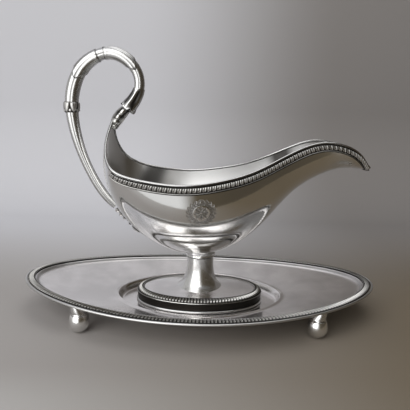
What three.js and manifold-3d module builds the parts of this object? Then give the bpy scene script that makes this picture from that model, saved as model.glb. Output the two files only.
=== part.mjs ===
// A silver sauce boat on its own stand: a boat-shaped bowl with a long pouring lip, a high
// scroll handle and an oval pedestal foot, which stands in the well of a pointed oval tray
// on four ball feet. Millimetres, +Z up, +X towards the lip. The origin is on the table,
// under the middle of the stand.
import * as THREE from "three";
import { mergeVertices } from "three/addons/utils/BufferGeometryUtils.js";
import Module from "manifold-3d";

const wasm = await Module();
wasm.setup();

// Clearance at every soldered or seated joint.
const seam = 0.3;

// Stand: a pointed oval tray whose rim sweeps up to its two tips.
const standLength = 270;
const standWidth = 152;
const standPinch = 0.1;
const standRimHeight = 19.8;
const standTipRise = 5.2;
const standSheet = 0.9;
const borderWidth = 7.8;
const rimWireRadius = 0.85;
const leafBandRelief = 1.1;
const coveWidth = 4;
const coveDepth = 3;

// The well in the middle of the stand, and the ridge round it.
const wellLength = 128;
const wellWidth = 92;
const wellPinch = 0.15;
const wellRidgeHeight = 11.8;
const wellFloorHeight = 6.4;
const wellWallRun = 3.2;

// Ball feet.
const ballRadius = 6.95;
const ballSpacingLong = 0.6126 * standLength;
const ballSpacingWide = 0.6395 * standWidth;
const ballWear = 0.25;
const ballNeckRadius = 3.8;
const ballNeckLean = 1.6;
const ballFlatDrop = 0.9;

// Pedestal foot of the boat, measured up from its own underside.
const footLength = 97.2;
const footWidth = 61;
const footWireHeight = 1.7;
const footWireReach = 0.9;
const footBandHeight = 7;
const footSheet = 1.3;
const footMouldingWidth = 5.2;
const footMouldingRise = 3;
const footDomeRise = 2.2;
const stemBaseRadius = 15.2;
const stemNeckRadius = 10.3;
const stemNeckHeight = 31;
const stemSheet = 1.6;
const collarRadius = 11.6;
const collarHeight = 2.6;

// Bowl wall, and the mouldings that follow its rim.
const bowlLength = 191.8;
const bowlWidth = 92.4;
const bowlPeakHeight = 138.8;
const bowlSheet = 1.2;
const rimStripWidth = 5;
const rimStripRelief = 1.5;
const rimStripLap = 0.6;
const rimStripGap = 0.4;
const bowlWireRadius = 0.85;

// Handle.
const handleThickness = 9.6;
const handleLobeShare = 0.12;
const bandReach = 1.2;
const bandLength = 8;
const sheathWall = 0.5;
const sheathTip = 7;
const calyxLipRadius = 5.8;
const calyxWall = 0.5;
const calyxPetals = 5;
const berryRadius = 1.6;

// The leaf between the handle's mouth and the peak of the bowl's back, and the pendant
// ornament below the handle's lower end.
const peakLeafWidth = 11.5;
const peakLeafThickness = 6;
const pendantLength = 28;
const pendantWidth = 7;
const pendantRelief = 4.2;

// Stations of the bowl from the peak at its back to the tip of the lip: the middle of the
// rim (x, height), half the width there, the keel below it (x, height), and how far round
// the section wraps, in degrees. They are shares of the bowl's length, peak height and
// half width.
const bowlShares = [
  { rim: [-0.3525, 1], half: 0.0195, keel: [-0.354, 0.9957], wrap: 34 },
  { rim: [-0.3618, 0.8869], half: 0.3983, keel: [-0.3754, 0.897], wrap: 42 },
  { rim: [-0.3285, 0.7644], half: 0.855, keel: [-0.3733, 0.7061], wrap: 60 },
  { rim: [-0.2195, 0.7068], half: 0.9675, keel: [-0.2998, 0.4719], wrap: 78 },
  { rim: [-0.0631, 0.688], half: 1, keel: [-0.1225, 0.2983], wrap: 87 },
  { rim: [0.0792, 0.7111], half: 0.8983, keel: [0.0756, 0.2939], wrap: 89 },
  { rim: [0.1971, 0.755], half: 0.6883, keel: [0.2398, 0.4503], wrap: 88 },
  { rim: [0.318, 0.8314], half: 0.4481, keel: [0.3624, 0.6405], wrap: 87 },
  { rim: [0.4489, 0.897], half: 0.3701, keel: [0.4979, 0.7514], wrap: 86 },
  { rim: [0.5699, 0.8617], half: 0.3377, keel: [0.5792, 0.7702], wrap: 84 },
  { rim: [0.6475, 0.7738], half: 0.026, keel: [0.6444, 0.763], wrap: 80 },
];
const bowlStations = bowlShares.map(({ rim, half, keel, wrap }) => ({
  rim: [rim[0] * bowlLength, rim[1] * bowlPeakHeight],
  half: (half * bowlWidth) / 2,
  keel: [keel[0] * bowlLength, keel[1] * bowlPeakHeight],
  wrap,
}));

// Centreline of the handle from its flared mouth, over the loop and down to the bowl: x and
// height above the foot's underside as shares of the bowl's length and peak height, and
// radius as a share of half the handle's thickness.
const handleShares = [
  [-0.2946, 1.0504, 0.6667],
  [-0.2617, 1.1117, 0.75],
  [-0.2471, 1.1873, 0.75],
  [-0.2737, 1.2774, 0.7917],
  [-0.3525, 1.3343, 0.8333],
  [-0.438, 1.2918, 0.8958],
  [-0.4891, 1.1945, 1],
  [-0.5068, 1.0612, 0.9375],
  [-0.4911, 0.9027, 0.7708],
  [-0.451, 0.7442, 0.6458],
  [-0.3936, 0.6037, 0.625],
  [-0.3368, 0.5202, 0.5],
];
const handlePoints = handleShares.map(([x, z, r]) => [
  x * bowlLength,
  z * bowlPeakHeight,
  (r * handleThickness) / 2,
]);

// Places along the handle, counted in those points: the mouth's calyx, the two leaf
// sheaths that meet on top of the loop, and the band that ties the reeds.
const calyxStart = 1.65;
const sheathPlaces = { inner: [3.1, 4.3], outer: [4.55, 5.55] };
const bandPlace = 7;

// Small maths helpers

const lerp = (a, b, t) => a + (b - a) * t;
const radians = (degrees) => (degrees * Math.PI) / 180;
const evenly = (count) => Array.from({ length: count + 1 }, (_, i) => i / count);
const turnsOf = (count) => evenly(count).slice(0, -1).map((t) => t * 2 * Math.PI);

// Natural cubic spline through evenly spaced knots, so the curvature has no steps.
// The returned function takes 0 at the first knot and 1 at the last.
function spline(values) {
  const last = values.length - 1;
  const bend = new Array(last + 1).fill(0);
  const pivot = new Array(last + 1).fill(0);
  for (let i = 1; i < last; i++) {
    const pull = 6 * (values[i + 1] - 2 * values[i] + values[i - 1]);
    const p = 1 / (4 - pivot[i - 1]);
    pivot[i] = p;
    bend[i] = (pull - bend[i - 1]) * p;
  }
  for (let i = last - 1; i > 0; i--) bend[i] -= pivot[i] * bend[i + 1];
  return (share) => {
    const place = THREE.MathUtils.clamp(share, 0, 1) * last;
    const i = Math.min(Math.floor(place), last - 1);
    const t = place - i;
    const s = 1 - t;
    return (
      s * values[i] +
      t * values[i + 1] +
      ((s ** 3 - s) * bend[i] + (t ** 3 - t) * bend[i + 1]) / 6
    );
  };
}

// Solids from rows of points

// Joins rows of points with two triangles a cell. Each row is a closed ring. A row list
// that closes on itself makes a hoop, and otherwise the two end rings are capped: as a
// fan round the middle, or as a strip folded along the middle of a U-shaped ring.
function loft(rows, { hoop = false, cap = "fan" } = {}) {
  const count = rows[0].length;
  const positions = rows.flat().flatMap((p) => [p.x, p.y, p.z]);
  const index = [];
  const spans = hoop ? rows.length : rows.length - 1;
  for (let i = 0; i < spans; i++) {
    const next = (i + 1) % rows.length;
    for (let j = 0; j < count; j++) {
      const k = (j + 1) % count;
      const [a, b] = [i * count + j, i * count + k];
      const [c, d] = [next * count + j, next * count + k];
      index.push(a, b, d, a, d, c);
    }
  }
  const addCap = (row, flip) => {
    const start = row * count;
    const face = (a, b, c) => index.push(...(flip ? [a, c, b] : [a, b, c]));
    if (cap === "fan") {
      const middle = rows[row]
        .reduce((sum, p) => sum.add(p), new THREE.Vector3())
        .divideScalar(count);
      const centre = positions.length / 3;
      positions.push(middle.x, middle.y, middle.z);
      for (let j = 0; j < count; j++)
        face(centre, start + ((j + 1) % count), start + j);
      return;
    }
    for (let j = 0; j < count / 2 - 1; j++) {
      const [a, b] = [start + j, start + j + 1];
      const [c, d] = [start + count - 1 - j, start + count - 2 - j];
      face(a, d, b);
      face(a, c, d);
    }
  };
  if (!hoop) {
    addCap(0, false);
    addCap(rows.length - 1, true);
  }
  const geometry = new THREE.BufferGeometry();
  geometry.setAttribute(
    "position",
    new THREE.Float32BufferAttribute(positions, 3),
  );
  geometry.setIndex(index);
  return faceOut(geometry);
}

// Turns every triangle round if the volume they enclose comes out negative.
function faceOut(geometry) {
  const p = geometry.getAttribute("position");
  const index = geometry.getIndex();
  const [a, b, c] = [0, 1, 2].map(() => new THREE.Vector3());
  let volume = 0;
  for (let i = 0; i < index.count; i += 3) {
    a.fromBufferAttribute(p, index.getX(i));
    b.fromBufferAttribute(p, index.getX(i + 1));
    c.fromBufferAttribute(p, index.getX(i + 2));
    volume += a.dot(b.cross(c));
  }
  if (volume < 0)
    for (let i = 0; i < index.count; i += 3) {
      const second = index.getX(i + 1);
      index.setX(i + 1, index.getX(i + 2));
      index.setX(i + 2, second);
    }
  return geometry;
}

// A geometry as a manifold-3d solid, and back.
function solid(geometry) {
  const bare = geometry.clone();
  for (const name of Object.keys(bare.attributes))
    if (name !== "position") bare.deleteAttribute(name);
  const merged = mergeVertices(bare, 1e-4);
  return new wasm.Manifold(
    new wasm.Mesh({
      numProp: 3,
      vertProperties: merged.attributes.position.array,
      triVerts: new Uint32Array(merged.index.array),
    }),
  );
}

function geometryOf(made) {
  const mesh = made.getMesh();
  const geometry = new THREE.BufferGeometry();
  geometry.setAttribute(
    "position",
    new THREE.BufferAttribute(new Float32Array(mesh.vertProperties), 3),
  );
  geometry.setIndex(new THREE.BufferAttribute(new Uint32Array(mesh.triVerts), 1));
  return geometry;
}

const cut = (geometry, ...tools) =>
  geometryOf(tools.reduce((left, tool) => left.subtract(solid(tool)), solid(geometry)));

const join = (...geometries) =>
  geometryOf(geometries.map(solid).reduce((sum, next) => sum.add(next)));

// The largest of the bodies that a cut has left.
function largest(geometry) {
  const bodies = solid(geometry).decompose();
  return geometryOf(bodies.sort((a, b) => b.volume() - a.volume())[0]);
}

// A box given by its lowest and highest corners.
function block(low, high) {
  const size = high.map((value, i) => value - low[i]);
  const middle = high.map((value, i) => (value + low[i]) / 2);
  return new THREE.BoxGeometry(...size).translate(...middle);
}

// Stand

// One ring of the stand: a pointed oval of half-length a and half-width b, drawn in at
// its shoulders by pinch, at height z, and lifted by rise towards its tips.
function ovalRing({ a, b, pinch = 0, z, rise = 0 }, steps) {
  return Array.from({ length: steps }, (_, i) => {
    const turn = (i / steps) * 2 * Math.PI;
    const c = Math.cos(turn);
    const s = Math.sin(turn);
    return new THREE.Vector3(a * c, b * s * (1 - pinch * c * c), z + rise * c * c);
  });
}

const standSteps = 44;
const halfLength = standLength / 2;
const halfWidth = standWidth / 2;
const wireWidth = rimWireRadius * 2;
const wireMiddle = standRimHeight - rimWireRadius;
const borderTop = wireMiddle + standSheet / 2;
const ridge = {
  a: wellLength / 2,
  b: wellWidth / 2,
  pinch: wellPinch,
  z: wellRidgeHeight,
};

// The ring that lies inset from the edge of the stand, at a height above its border.
function borderRing(inset, height, rise = standTipRise) {
  return {
    a: halfLength - inset,
    b: halfWidth - inset,
    pinch: standPinch,
    z: borderTop + height,
    rise,
  };
}

// The upper face of the tray from its edge to the floor of the well.
const trayRings = [
  borderRing(wireWidth + seam, 0),
  borderRing(borderWidth, 0),
  borderRing(borderWidth + coveWidth * 0.4, -coveDepth * 0.75),
  borderRing(borderWidth + coveWidth, -coveDepth, standTipRise * 0.9),
  { ...ridge, a: ridge.a + 2.4, b: ridge.b + 2.4, z: ridge.z - 0.7 },
  { ...ridge },
  { ...ridge, a: ridge.a - 0.9, b: ridge.b - 0.9, z: ridge.z - 0.8 },
  {
    ...ridge,
    a: ridge.a - wellWallRun,
    b: ridge.b - wellWallRun,
    z: wellFloorHeight,
  },
];

// The tray is its upper face with the sheet's thickness below it.
function trayGeometry() {
  const top = trayRings.map((ring) => ovalRing(ring, standSteps));
  const bottom = trayRings.map((ring) =>
    ovalRing({ ...ring, z: ring.z - standSheet }, standSteps),
  );
  return loft([...top.reverse(), ...bottom]);
}

// Everything above the tray's lower face, to trim what is soldered under it.
function overTray() {
  const lowered = trayRings.map((ring) =>
    ovalRing({ ...ring, z: ring.z - standSheet - seam }, standSteps),
  );
  const wide = { ...trayRings[0], a: halfLength + 10, b: halfWidth + 10 };
  const outer = ovalRing({ ...wide, z: wide.z - standSheet - seam }, standSteps);
  const lid = ovalRing({ ...wide, z: wide.z + 40, rise: 0 }, standSteps);
  return loft([...lowered.reverse(), outer, lid]);
}

// A hoop whose section is a list of [inset from the stand's edge, height] points.
function borderHoop(section, steps) {
  const rings = section.map(([inset, height]) =>
    ovalRing(borderRing(inset, height), steps),
  );
  return loft(rings, { hoop: true });
}

function standRimWire() {
  const r = rimWireRadius;
  const sides = 6;
  const section = Array.from({ length: sides }, (_, i) => {
    const turn = (i / sides) * 2 * Math.PI;
    return [r + r * Math.cos(turn), wireMiddle - borderTop + r * Math.sin(turn)];
  });
  return borderHoop(section, standSteps);
}

// The leaf band of the border: a raised fillet, a rounded row of leaf tips and a bead.
function standLeafBand() {
  const inset = (t) => lerp(wireWidth + seam, borderWidth - seam, t);
  const section = [
    [0, 0.5],
    [0.3, 1],
    [0.7, 0.75],
    [0.85, 0.9],
    [1, 0.4],
  ].map(([across, up]) => [inset(across), seam + leafBandRelief * up]);
  return borderHoop([[inset(0), seam], ...section, [inset(1), seam]], standSteps);
}

const ballPlaces = [
  ["front_left", -1, -1],
  ["front_right", 1, -1],
  ["back_left", -1, 1],
  ["back_right", 1, 1],
];

// A ball is flattened a little where it has worn on the table, and filed flat on top for
// its neck.
const ballTop = 2 * ballRadius - ballWear - ballFlatDrop;

function ballGeometry() {
  const ball = new THREE.SphereGeometry(ballRadius, 16, 9).rotateX(Math.PI / 2);
  const above = block([-10, -10, ballTop], [10, 10, ballTop + 10]);
  const below = block([-10, -10, -10], [10, 10, 0]);
  return cut(ball.translate(0, 0, ballRadius - ballWear), above, below);
}

// The short neck that is soldered between a ball and the tray above it. It leans
// outwards, towards the tip of the stand.
function ballNeckGeometry(x, y, tray) {
  const bottom = ballTop + seam;
  const flare = 2;
  const profile = [
    [0, bottom],
    [ballNeckRadius + 0.5, bottom],
    [ballNeckRadius, bottom + 0.9],
    [ballNeckRadius + flare, bottom + 5],
    [ballNeckRadius + flare, bottom + 16],
    [0, bottom + 16],
  ].map(([r, z]) => new THREE.Vector2(r, z));
  const neck = new THREE.LatheGeometry(profile, 12).rotateX(Math.PI / 2);
  const lean = (Math.sign(x) * ballNeckLean) / 5;
  const leant = new THREE.Matrix4().makeShear(0, 0, 0, 0, lean, 0);
  neck.translate(0, 0, -bottom).applyMatrix4(leant).translate(x, y, bottom);
  return cut(neck, tray);
}

// Pedestal foot

const footSteps = 36;

// A hoop that follows the foot's oval. Each point of its section is how far it lies in
// from the outline of the foot, and its height.
function footHoop(section, steps = footSteps) {
  const rings = section.map(([inset, z]) =>
    ovalRing({ a: footLength / 2 - inset, b: footWidth / 2 - inset, z }, steps),
  );
  return loft(rings, { hoop: true });
}

function footWire() {
  const reach = footWireReach;
  return footHoop([
    [footSheet, 0],
    [-reach * 0.6, 0],
    [-reach, footWireHeight * 0.5],
    [-reach * 0.4, footWireHeight],
    [footSheet, footWireHeight],
  ]);
}

function footBand() {
  const low = footWireHeight + seam;
  const high = footBandHeight;
  return footHoop([
    [0, low],
    [0, high],
    [footSheet, high],
    [footSheet, low],
  ]);
}

// The leaf moulding of the foot: a bead over the band, a sloping row of leaf tips, and a
// fillet against the plate.
function footLeafMoulding() {
  const base = footBandHeight + seam;
  const width = footMouldingWidth;
  const rise = footMouldingRise;
  return footHoop([
    [-0.5, base],
    [-0.7, base + 0.5],
    [0.2, base + 1],
    [width * 0.3, base + rise * 0.75],
    [width * 0.75, base + rise],
    [width, base + rise * 0.9],
    [width, base],
  ]);
}

// The oval plate inside the moulding, domed up to the ring of the stem.
function footPlate() {
  const edge = footMouldingWidth + seam;
  const a = footLength / 2 - edge;
  const b = footWidth / 2 - edge;
  const top = footBandHeight + seam + footMouldingRise * 0.8;
  const inner = stemBaseRadius + seam;
  const ring = (share, drop) =>
    ovalRing(
      {
        a: lerp(a, inner, share),
        b: lerp(b, inner, share),
        z: top + footDomeRise * share ** 1.6 - drop,
      },
      footSteps,
    );
  const shares = [0, 0.35, 0.7, 1];
  const upper = shares.map((share) => ring(share, 0));
  const lower = shares.map((share) => ring(share, footSheet)).reverse();
  return loft([...upper, ...lower], { hoop: true });
}

const stemBottom = footBandHeight + seam + footMouldingRise * 0.8 + footDomeRise - footSheet;

// The trumpet of the stem: wide at the plate, narrow at the neck, open inside.
function stemProfile() {
  const foot = stemBottom;
  const neck = stemNeckHeight;
  const outer = [0, 0.06, 0.16, 0.32, 0.55, 0.8, 1].map((share) => {
    const flare = (1 - share) ** 2.3;
    const radius = stemNeckRadius + (stemBaseRadius - stemNeckRadius) * flare;
    return [radius, lerp(foot + footSheet, neck, share)];
  });
  outer.unshift([stemBaseRadius, foot]);
  const top = bowlUnderside() - collarHeight;
  outer.push([stemNeckRadius + 0.2, top]);
  const inner = outer
    .filter((_, i) => i % 2 === 1 || i === outer.length - 1 || i === 0)
    .map(([r, z]) => [r - stemSheet, z])
    .reverse();
  return [...outer, ...inner, outer[0]].map(([r, z]) => new THREE.Vector2(r, z));
}

const stemGeometry = () =>
  new THREE.LatheGeometry(stemProfile(), 24).rotateX(Math.PI / 2);

// The ring between the stem and the bowl, trimmed to the bowl's underside.
function stemCollar() {
  const low = bowlUnderside() - collarHeight + seam;
  const inner = stemNeckRadius - stemSheet;
  const profile = [
    [inner, low],
    [collarRadius - 1.2, low],
    [collarRadius, low + 0.9],
    [collarRadius - 0.5, low + 1.8],
    [collarRadius + 0.6, low + 2.6],
    [collarRadius + 0.8, low + 6],
    [inner, low + 6],
    [inner, low],
  ].map(([r, z]) => new THREE.Vector2(r, z));
  const ring = new THREE.LatheGeometry(profile, 24).rotateX(Math.PI / 2);
  return cut(ring, bowlFilled(seam));
}

// Bowl

const bowlCurve = {
  rimX: spline(bowlStations.map((s) => s.rim[0])),
  rimZ: spline(bowlStations.map((s) => s.rim[1])),
  half: spline(bowlStations.map((s) => s.half)),
  keelX: spline(bowlStations.map((s) => s.keel[0])),
  keelZ: spline(bowlStations.map((s) => s.keel[1])),
  wrap: spline(bowlStations.map((s) => s.wrap)),
};
const bowlRows = 36;
const bowlAcross = 14;

// The rows of the bowl and its mouldings lie closer together near its two ends.
const bowlRowAt = (t) => lerp(t, 0.5 - 0.5 * Math.cos(Math.PI * t), 0.6);

// The outer face of the bowl. u runs from the back's peak to the lip's tip, and v from
// the near rim at -1, over the keel at 0, to the far rim at 1. Each section is an arc of
// an ellipse that wraps further round where the bowl is deep.
function bowlPoint(u, v) {
  const wrap = radians(bowlCurve.wrap(u));
  const turn = v * wrap;
  const depth = (Math.cos(turn) - Math.cos(wrap)) / (1 - Math.cos(wrap));
  return new THREE.Vector3(
    lerp(bowlCurve.rimX(u), bowlCurve.keelX(u), depth),
    (bowlCurve.half(u) * Math.sin(turn)) / Math.sin(wrap),
    lerp(bowlCurve.rimZ(u), bowlCurve.keelZ(u), depth),
  );
}

// The way out of the bowl at a point of its outer face.
function bowlNormal(u, v) {
  const step = 1e-3;
  const [u0, u1] = [Math.max(u - step, 0), Math.min(u + step, 1)];
  const along = bowlPoint(u1, v).sub(bowlPoint(u0, v));
  const across = bowlPoint(u, v + step).sub(bowlPoint(u, v - step));
  return across.cross(along).normalize();
}

// The share of the wall's thickness that fits near the two pointed ends.
const wallRoom = (u) => Math.min(1, bowlCurve.half(u) / 3);

// A point off the outer face: outwards where offset is positive.
function bowlOffset(u, v, offset) {
  const shift = offset < 0 ? offset * wallRoom(u) : offset;
  return bowlPoint(u, v).addScaledVector(bowlNormal(u, v), shift);
}

const bowlUnderside = () =>
  Math.min(...evenly(60).map((u) => bowlPoint(u, 0).z));

// A row of points past another one, at a distance and in line with it and the one before.
function rowBeyond(row, before, distance) {
  return row.map((p, i) => p.clone().sub(before[i]).setLength(distance).add(p));
}

// The wall of the bowl, grown all round by a clearance where it trims what meets it.
function bowlShell(grow = 0) {
  const acrossShares = evenly(bowlAcross).map((t) => 2 * t - 1);
  const rows = evenly(bowlRows).map(bowlRowAt).map((u) => {
    const spread = 1 + grow / halfGirth(u);
    const offsetBy = (offset) =>
      acrossShares.map((v) => bowlOffset(u, v * spread, offset));
    return [...offsetBy(grow), ...offsetBy(-bowlSheet - grow).reverse()];
  });
  if (grow) {
    rows.unshift(rowBeyond(rows[0], rows[1], grow));
    rows.push(rowBeyond(rows.at(-1), rows.at(-2), grow));
  }
  return loft(rows, { cap: "strip" });
}

// The bowl filled level with its rim, grown by a clearance, to trim what meets it below.
function bowlFilled(grow) {
  const rows = evenly(bowlRows).map(bowlRowAt).map((u) =>
    evenly(bowlAcross).map((t) => bowlOffset(u, 2 * t - 1, grow)),
  );
  return loft(rows);
}

// The v of the point that lies a distance down from the near rim, along the section.
function downFromRim(u, distance) {
  if (distance < 0) return -1 + distance / halfGirth(u);
  const steps = 40;
  let travelled = 0;
  let before = bowlPoint(u, -1);
  for (let i = 1; i <= steps; i++) {
    const v = -1 + i / steps;
    const point = bowlPoint(u, v);
    const stride = point.distanceTo(before);
    if (travelled + stride >= distance)
      return v - (1 - (distance - travelled) / stride) / steps;
    travelled += stride;
    before = point;
  }
  return 0;
}

// How long the near half of the section is, from rim to keel.
function halfGirth(u) {
  const shares = evenly(24).map((t) => t - 1);
  return shares
    .slice(1)
    .reduce((sum, v, i) => sum + bowlPoint(u, v).distanceTo(bowlPoint(u, shares[i])), 0);
}

// Both sides of the rim carry the same mouldings. The wire starts under the leaf at the
// back's peak, and the leaf strip where the rim levels out. Both run to the middle of the
// lip, where the two sides meet in a mitre.
const wireFirstRow = 1;
const stripFirstRow = 10;
const lipOverrun = 2;

function rimRows(firstRow, grow, makeRow) {
  const rows = evenly(bowlRows).slice(firstRow).map(bowlRowAt).map(makeRow);
  if (grow) rows.unshift(rowBeyond(rows[0], rows[1], grow));
  return [...rows, rowBeyond(rows.at(-1), rows.at(-2), lipOverrun)];
}

function nearHalf(geometry) {
  const beyond = block([-200, -seam / 2, -50], [200, 200, 300]);
  return cut(geometry, beyond);
}

const farHalf = (near) => {
  const far = near.clone().scale(1, -1, 1);
  return faceOut(far);
};

// The leaf strip lies on the outside of the wall and rises over the joint between the
// wall and the wire. Both mouldings take a clearance to grow by, to trim what meets them.
function rimLeafStrip(grow = 0) {
  const profile = [
    [0.02, 0.8],
    [0.15, 1],
    [0.24, 0.55],
    [0.42, 1.1],
    [0.78, 0.7],
    [0.9, 0.85],
    [0.98, 0.5],
  ].map(([down, out]) => [rimStripWidth * down, rimStripRelief * out + grow]);
  const [top, bottom] = [-rimStripLap - grow, rimStripWidth + grow];
  const under = rimStripGap - grow;
  const section = [[top, under], ...profile, [bottom, under], [bottom / 2, under]];
  section[1][0] = top;
  section.at(-3)[0] = bottom;
  const rows = rimRows(stripFirstRow, grow, (u) => {
    const fit = Math.min(1, (halfGirth(u) * 0.85) / rimStripWidth);
    return section.map(([down, out]) => bowlOffset(u, downFromRim(u, down * fit), out));
  });
  return nearHalf(loft(rows));
}

function rimWire(grow = 0) {
  const radius = bowlWireRadius + grow;
  const rows = rimRows(wireFirstRow, grow, (u) => {
    const edge = bowlPoint(u, -1);
    const out = bowlNormal(u, -1);
    const ahead = bowlPoint(Math.min(u + 1e-3, 1), -1);
    const behind = bowlPoint(Math.max(u - 1e-3, 0), -1);
    const up = out.clone().cross(ahead.sub(behind)).normalize();
    const centre = edge
      .addScaledVector(up, seam + bowlWireRadius)
      .addScaledVector(out, (-bowlSheet / 2) * wallRoom(u));
    return turnsOf(5).map((turn) =>
      centre
        .clone()
        .addScaledVector(out, -radius * Math.sin(turn))
        .addScaledVector(up, radius * Math.cos(turn)),
    );
  });
  return nearHalf(loft(rows));
}

// Handle

const handleCurve = {
  x: spline(handlePoints.map((p) => p[0])),
  z: spline(handlePoints.map((p) => p[1])),
  radius: spline(handlePoints.map((p) => p[2])),
};

// The centre, the in-plane normal and the radius at a place along the handle. The normal
// points to the outside of the loop.
function handleFrame(t) {
  const step = 1e-3;
  const [t0, t1] = [Math.max(t - step, 0), Math.min(t + step, 1)];
  const centre = new THREE.Vector3(handleCurve.x(t), 0, handleCurve.z(t));
  const tangent = new THREE.Vector3(
    handleCurve.x(t1) - handleCurve.x(t0),
    0,
    handleCurve.z(t1) - handleCurve.z(t0),
  ).normalize();
  const out = new THREE.Vector3(tangent.z, 0, -tangent.x);
  return { centre, tangent, out, radius: handleCurve.radius(t) };
}

// Where along the handle a place is, from 0 at its mouth to 1 at its lower end.
const along = (place) => place / (handlePoints.length - 1);

const handleSides = 16;
// A point at a reach from the centreline. The turn is 0 on the outside of the loop.
function handlePoint(t, turn, reach) {
  const { centre, out } = handleFrame(t);
  return centre
    .clone()
    .addScaledVector(out, reach * Math.cos(turn))
    .addScaledVector(new THREE.Vector3(0, 1, 0), reach * Math.sin(turn));
}

// Four reeds side by side make a four-lobed section.
function reededReach(t, turn, lobe = handleLobeShare) {
  return handleCurve.radius(t) * (1 - lobe * Math.cos(4 * turn));
}

function reeds(from, to, steps) {
  const rows = evenly(steps).map((share) => {
    const t = lerp(from, to, share);
    return turnsOf(handleSides).map((turn) => handlePoint(t, turn, reededReach(t, turn)));
  });
  return loft(rows);
}

const handleLength = evenly(200)
  .map((t) => handleFrame(t).centre)
  .reduce((sum, p, i, all) => (i ? sum + p.distanceTo(all[i - 1]) : 0), 0);
const bandMiddle = along(bandPlace);
const bandHalf = bandLength / 2 / handleLength;
const halfSeam = seam / 2 / handleLength;

const reedsLower = () => cut(reeds(bandMiddle + halfSeam, 1, 14), bowlFilled(seam));
const reedsUpper = () => reeds(along(0.9), bandMiddle - halfSeam, 22);

// A sleeve round the handle whose wall starts a clearance off it. Its ends may run
// further along the handle's two sides, which makes them pointed.
function handleSleeve(from, to, steps, wallAt, tips = [0, 0], outerLobe = handleLobeShare) {
  const placeAt = (share, turn) => {
    const tip = Math.sin(turn) ** 4 / handleLength;
    return lerp(from - tips[0] * tip, to + tips[1] * tip, share);
  };
  const ring = (share, grow, lobe) =>
    turnsOf(handleSides).map((turn) => {
      const t = placeAt(share, turn);
      return handlePoint(t, turn, reededReach(t, turn, lobe) + grow);
    });
  const shares = evenly(steps);
  const inside = shares.map((share) => ring(share, seam, handleLobeShare));
  const outside = shares.map((share) =>
    ring(share, seam + wallAt(share), outerLobe),
  );
  return loft([...inside, ...outside.reverse()], { hoop: true });
}

// The band that ties the reeds: a fillet between two beads.
function handleBand() {
  const wallAt = (share) => bandReach * (0.4 + 0.6 * Math.sin(2 * Math.PI * share) ** 2);
  const [from, to] = [bandMiddle - bandHalf, bandMiddle + bandHalf];
  return handleSleeve(from, to, 6, wallAt, [0, 0], handleLobeShare * 1.4);
}

// A leaf that wraps the reeds, and ends in points on the far side from the other one.
function handleSheath([from, to], tips) {
  const wallAt = (share) => sheathWall * (0.7 + 0.3 * Math.sin(Math.PI * share));
  return handleSleeve(along(from), along(to), 5, wallAt, tips);
}

// The flared calyx at the handle's mouth, open downwards. Its lip is cut into petals.
function handleCalyx() {
  const from = along(calyxStart);
  const ring = (share, inset) =>
    turnsOf(calyxPetals * 5).map((turn) => {
      const petal = 0.5 + 0.5 * Math.cos(calyxPetals * turn);
      const t = lerp(from, 0, share * (1 - 0.3 * share ** 2 * petal));
      const tight = reededReach(t, turn) + seam + calyxWall;
      const reach = lerp(tight, calyxLipRadius, share ** 1.6) * (1 - 0.08 * petal * share);
      return handlePoint(t, turn, reach - inset);
    });
  const shares = evenly(5);
  const outside = shares.map((share) => ring(share, 0));
  const inside = shares.map((share) => ring(share, calyxWall)).reverse();
  return loft([...outside, ...inside], { hoop: true });
}

// The leaf that joins the handle's mouth to the peak of the bowl. It saddles the peak,
// and carries the berries that show in the mouth.
function peakLeaf() {
  const top = handleFrame(along(0.25)).centre;
  const peak = new THREE.Vector3(bowlCurve.rimX(0), 0, bowlCurve.rimZ(0));
  const foot = peak.clone().add(new THREE.Vector3(1.3, 0, -6.5));
  const shoulder = peak.clone().add(new THREE.Vector3(1.6, 0, 1.5));
  const path = new THREE.QuadraticBezierCurve3(foot, shoulder, top);
  const side = new THREE.Vector3(0, 1, 0);
  const rows = evenly(8).map((t) => {
    const centre = path.getPoint(t);
    const front = path.getTangent(t).cross(side).normalize();
    const swell = 0.32 + 0.68 * Math.sin(Math.PI * (0.1 + t * 0.75));
    const notch = 1 - 0.15 * Math.abs(Math.sin(3.5 * Math.PI * t));
    return turnsOf(12).map((turn) =>
      centre
        .clone()
        .addScaledVector(side, (peakLeafWidth / 2) * swell * notch * Math.cos(turn))
        .addScaledVector(front, (peakLeafThickness / 2) * swell * Math.sin(turn)),
    );
  });
  const berries = [-1, 0, 1].map((place) =>
    new THREE.IcosahedronGeometry(berryRadius, 1).translate(
      top.x + 0.9 * Math.abs(place) - 0.6,
      place * berryRadius * 1.35,
      top.z - 0.8 * Math.abs(place) + 0.4,
    ),
  );
  const wire = rimWire(seam);
  const trims = [bowlShell(seam), wire, farHalf(wire)];
  return largest(cut(join(loft(rows), ...berries), ...trims));
}

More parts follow.
